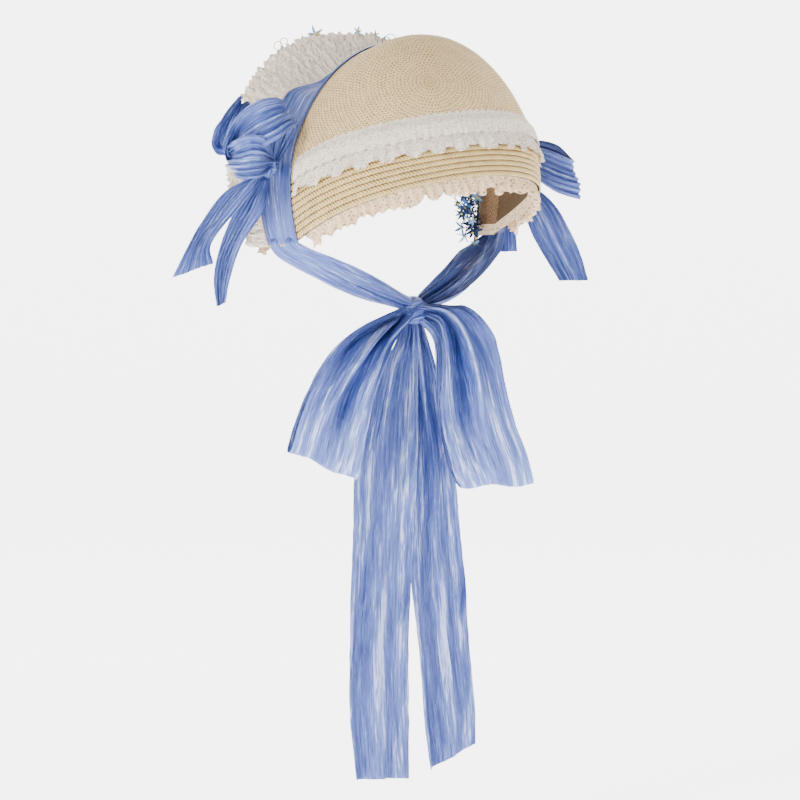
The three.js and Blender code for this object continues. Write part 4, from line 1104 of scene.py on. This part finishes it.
def tube(line, radius, sides=5):
    """Open tube along a line of points."""
    line = np.asarray(line, float)
    heading = np.gradient(line, axis=0)
    rings = []
    for point, ahead in zip(line, heading):
        across = unit(np.cross(ahead, (0.31, 0.87, 0.38)))
        other = unit(np.cross(ahead, across))
        turn = np.linspace(0, 2 * math.pi, sides + 1)[:, None]
        rings.append(point + radius * (np.cos(turn) * across + np.sin(turn) * other))
    return np.array(rings)


def petal(centre, out, normal, length, width, curl):
    """A narrow leaf from the centre, folded along its middle and curled at its tip."""
    across = np.cross(normal, out)
    t = np.linspace(0, 1, 6)[:, None]
    rise = curl * length * t**2
    middle = centre + out * length * t + normal * rise
    half = across * width * (np.sin(math.pi * np.clip(t * 0.86 + 0.12, 0, 1)) ** 0.8) / 2
    return np.stack([middle - half, middle - normal * width * 0.22, middle + half], 1)


def floret(centre, normal, size, kind):
    patches = []
    across = unit(np.cross(normal, (0.2, 0.1, 1.0)))
    other = np.cross(normal, across)
    spin = random.uniform(0, 2 * math.pi)
    for k in range(PETALS):
        turn = spin + 2 * math.pi * k / PETALS + random.uniform(-0.2, 0.2)
        out = math.cos(turn) * across + math.sin(turn) * other
        length = size * random.uniform(0.8, 1.2)
        curl = random.uniform(0.1, 0.7)
        patches.append((petal(centre, out, normal, length, size * 0.36, curl), 0.0, kind))
    if random.random() < 0.55:
        patches.append((bead(centre + normal * size * 0.12, size * 0.15), 0.0, POLLEN))
    return patches


def bead(centre, radius):
    u, v = grid(8, 5)
    turn, rise = 2 * math.pi * u, math.pi * (v - 0.5)
    return np.array(centre) + radius * points(
        np.cos(rise) * np.cos(turn), np.cos(rise) * np.sin(turn), np.sin(rise) + 0 * turn
    )


def on_edge(over, forward, inward):
    return brim_at(over, brim_depth(over) - FLOWER_INSET + forward, -STRAW_WALL - FLOWER_SEAT - inward)


# Florets that stand up over the lace: degrees on the arch, forward of the edge, above it,
# petal length and kind. Loops of wire: the same place, and the radius.
PEEKS = {3: [(78, 5, 9, 6.5, 2), (96, 4, 11, 4.5, 2), (103, 2, 10, 3.5, 1)]}
LOOPS = {4: [(106, -16, 15, 4.4), (104, -18, 14, 3.2)], 2: [(63, 3, 11, 3.4), (66, 4, 11, 2.8)]}
FAR = FLOWER_COUNT - 1
for i in range(FLOWER_COUNT):
    middle = math.radians(mix(FLOWER_FROM_EAR, 180 - FLOWER_FROM_EAR, i / (FLOWER_COUNT - 1)))
    reach = math.radians(8)
    stem = np.array([on_edge(a, 0, STEM) for a in np.linspace(middle - reach, middle + reach, 9)])
    patches = [(tube(stem, STEM * 0.7), 0.0, WIRE)]
    for k in range(FLORETS_FAR if i == FAR else FLORETS):
        over = middle + math.radians(random.uniform(-12, 12) if i < FAR else random.uniform(-15, 9))
        over = min(max(over, 0.05), math.pi - 0.05)
        root = on_edge(over, 0, STEM)
        if i == FAR:
            centre = on_edge(over, random.uniform(-14, 18), random.uniform(1, 22))
            centre = centre - (0, 0, random.uniform(-2, 14))
        else:
            centre = on_edge(over, random.uniform(-6, 7), random.uniform(2, 15))
        centre = centre + random.normal(0, 1.2, 3)
        normal = unit(centre - root + random.normal(0, 3, 3))
        kind = int(random.choice([0, 0, 0, 0, 1, 1, 2]))
        bend = (root + centre) / 2 + random.normal(0, 1.5, 3)
        patches.append((tube([root, bend, centre], 0.45), 0.0, WIRE))
        patches += floret(centre, normal, random.uniform(5.0, 8.0), kind)
    for degrees, forward, above, size, kind in PEEKS.get(i, []):
        over = math.radians(degrees)
        root = on_edge(over, 4, 0)
        centre = brim_at(over, brim_depth(over) + forward - 6, above - 4)
        patches.append((tube([root, centre + (0, -6, -4), centre], 0.45), 0.0, WIRE))
        patches += floret(centre, unit(np.array([0.4, 0.9, 0.3])), size, kind)
        patches.append((bead(centre + (0.4, 1.0, 0.3), size * 0.26), 0.0, POLLEN))
    for degrees, forward, above, radius in LOOPS.get(i, []):
        over = math.radians(degrees)
        centre = brim_at(over, brim_depth(over) + forward, above - 4)
        turn = np.linspace(-0.35 * math.pi, 1.35 * math.pi, 25)
        ring = centre + radius * points(-0.81 * np.cos(turn), 0.59 * np.cos(turn), np.sin(turn))
        patches.append((tube(ring, 0.35), 0.0, WIRE))
    build(
        f"garland_{i + 1}", patches, [petal_dark, petal_blue, petal_pale, pollen, wire],
        [f"flowers_{i + 1}"],
    )

# Floor, backdrop and light
FLOOR = -640.0
profile = [(-9000, 0), (1500, 0), (2600, 120), (3100, 700), (3200, 1500), (3200, 4000)]
stage_verts, stage_faces = [], []
for side_reach in (-12000, 12000):
    for distance, rise in profile:
        spot = -back * distance + right * side_reach
        stage_verts.append((spot.x / 1000, spot.y / 1000, (FLOOR + rise) / 1000))
count = len(profile)
for k in range(count - 1):
    stage_faces.append((k, k + 1, count + k + 1, count + k))
stage_mesh = bpy.data.meshes.new("backdrop")
stage_mesh.from_pydata(stage_verts, [], stage_faces)
studio = Paint("studio_white", Roughness=1.0, Emission_Strength=4.0)
studio.shader.inputs["Base Color"].default_value = (0.9, 0.9, 0.9, 1)
studio.shader.inputs["Emission Color"].default_value = (1, 1, 1, 1)
stage_mesh.materials.append(studio.material)
for polygon in stage_mesh.polygons:
    polygon.use_smooth = True
backdrop = bpy.data.objects.new("backdrop", stage_mesh)
bpy.context.scene.collection.objects.link(backdrop)

world = bpy.data.worlds.new("studio")
world.use_nodes = True
world.node_tree.nodes["Background"].inputs[0].default_value = (1, 1, 1, 1)
world.node_tree.nodes["Background"].inputs[1].default_value = 0.3
bpy.context.scene.world = world

# Lamps: name, to the right, up, towards the camera, size and power
LAMPS = [
    ("key", -1200, 900, 1500, 450, 36),
    ("fill", 1500, 300, 1500, 1000, 11),
    ("top", 0, 1600, -200, 900, 8),
]
middle = Vector((0, 0, EAR_LEVEL - 60))
for name, to_right, upward, nearer, size, power in LAMPS:
    lamp = bpy.data.objects.new(name, bpy.data.lights.new(name, "AREA"))
    bpy.context.scene.collection.objects.link(lamp)
    spot = middle + right * to_right + Vector((0, 0, upward)) + back * nearer
    lamp.location = spot / 1000
    lamp.rotation_mode = "QUATERNION"
    lamp.rotation_quaternion = (middle - spot).to_track_quat("-Z", "Y")
    lamp.data.size = size / 1000
    lamp.data.energy = power
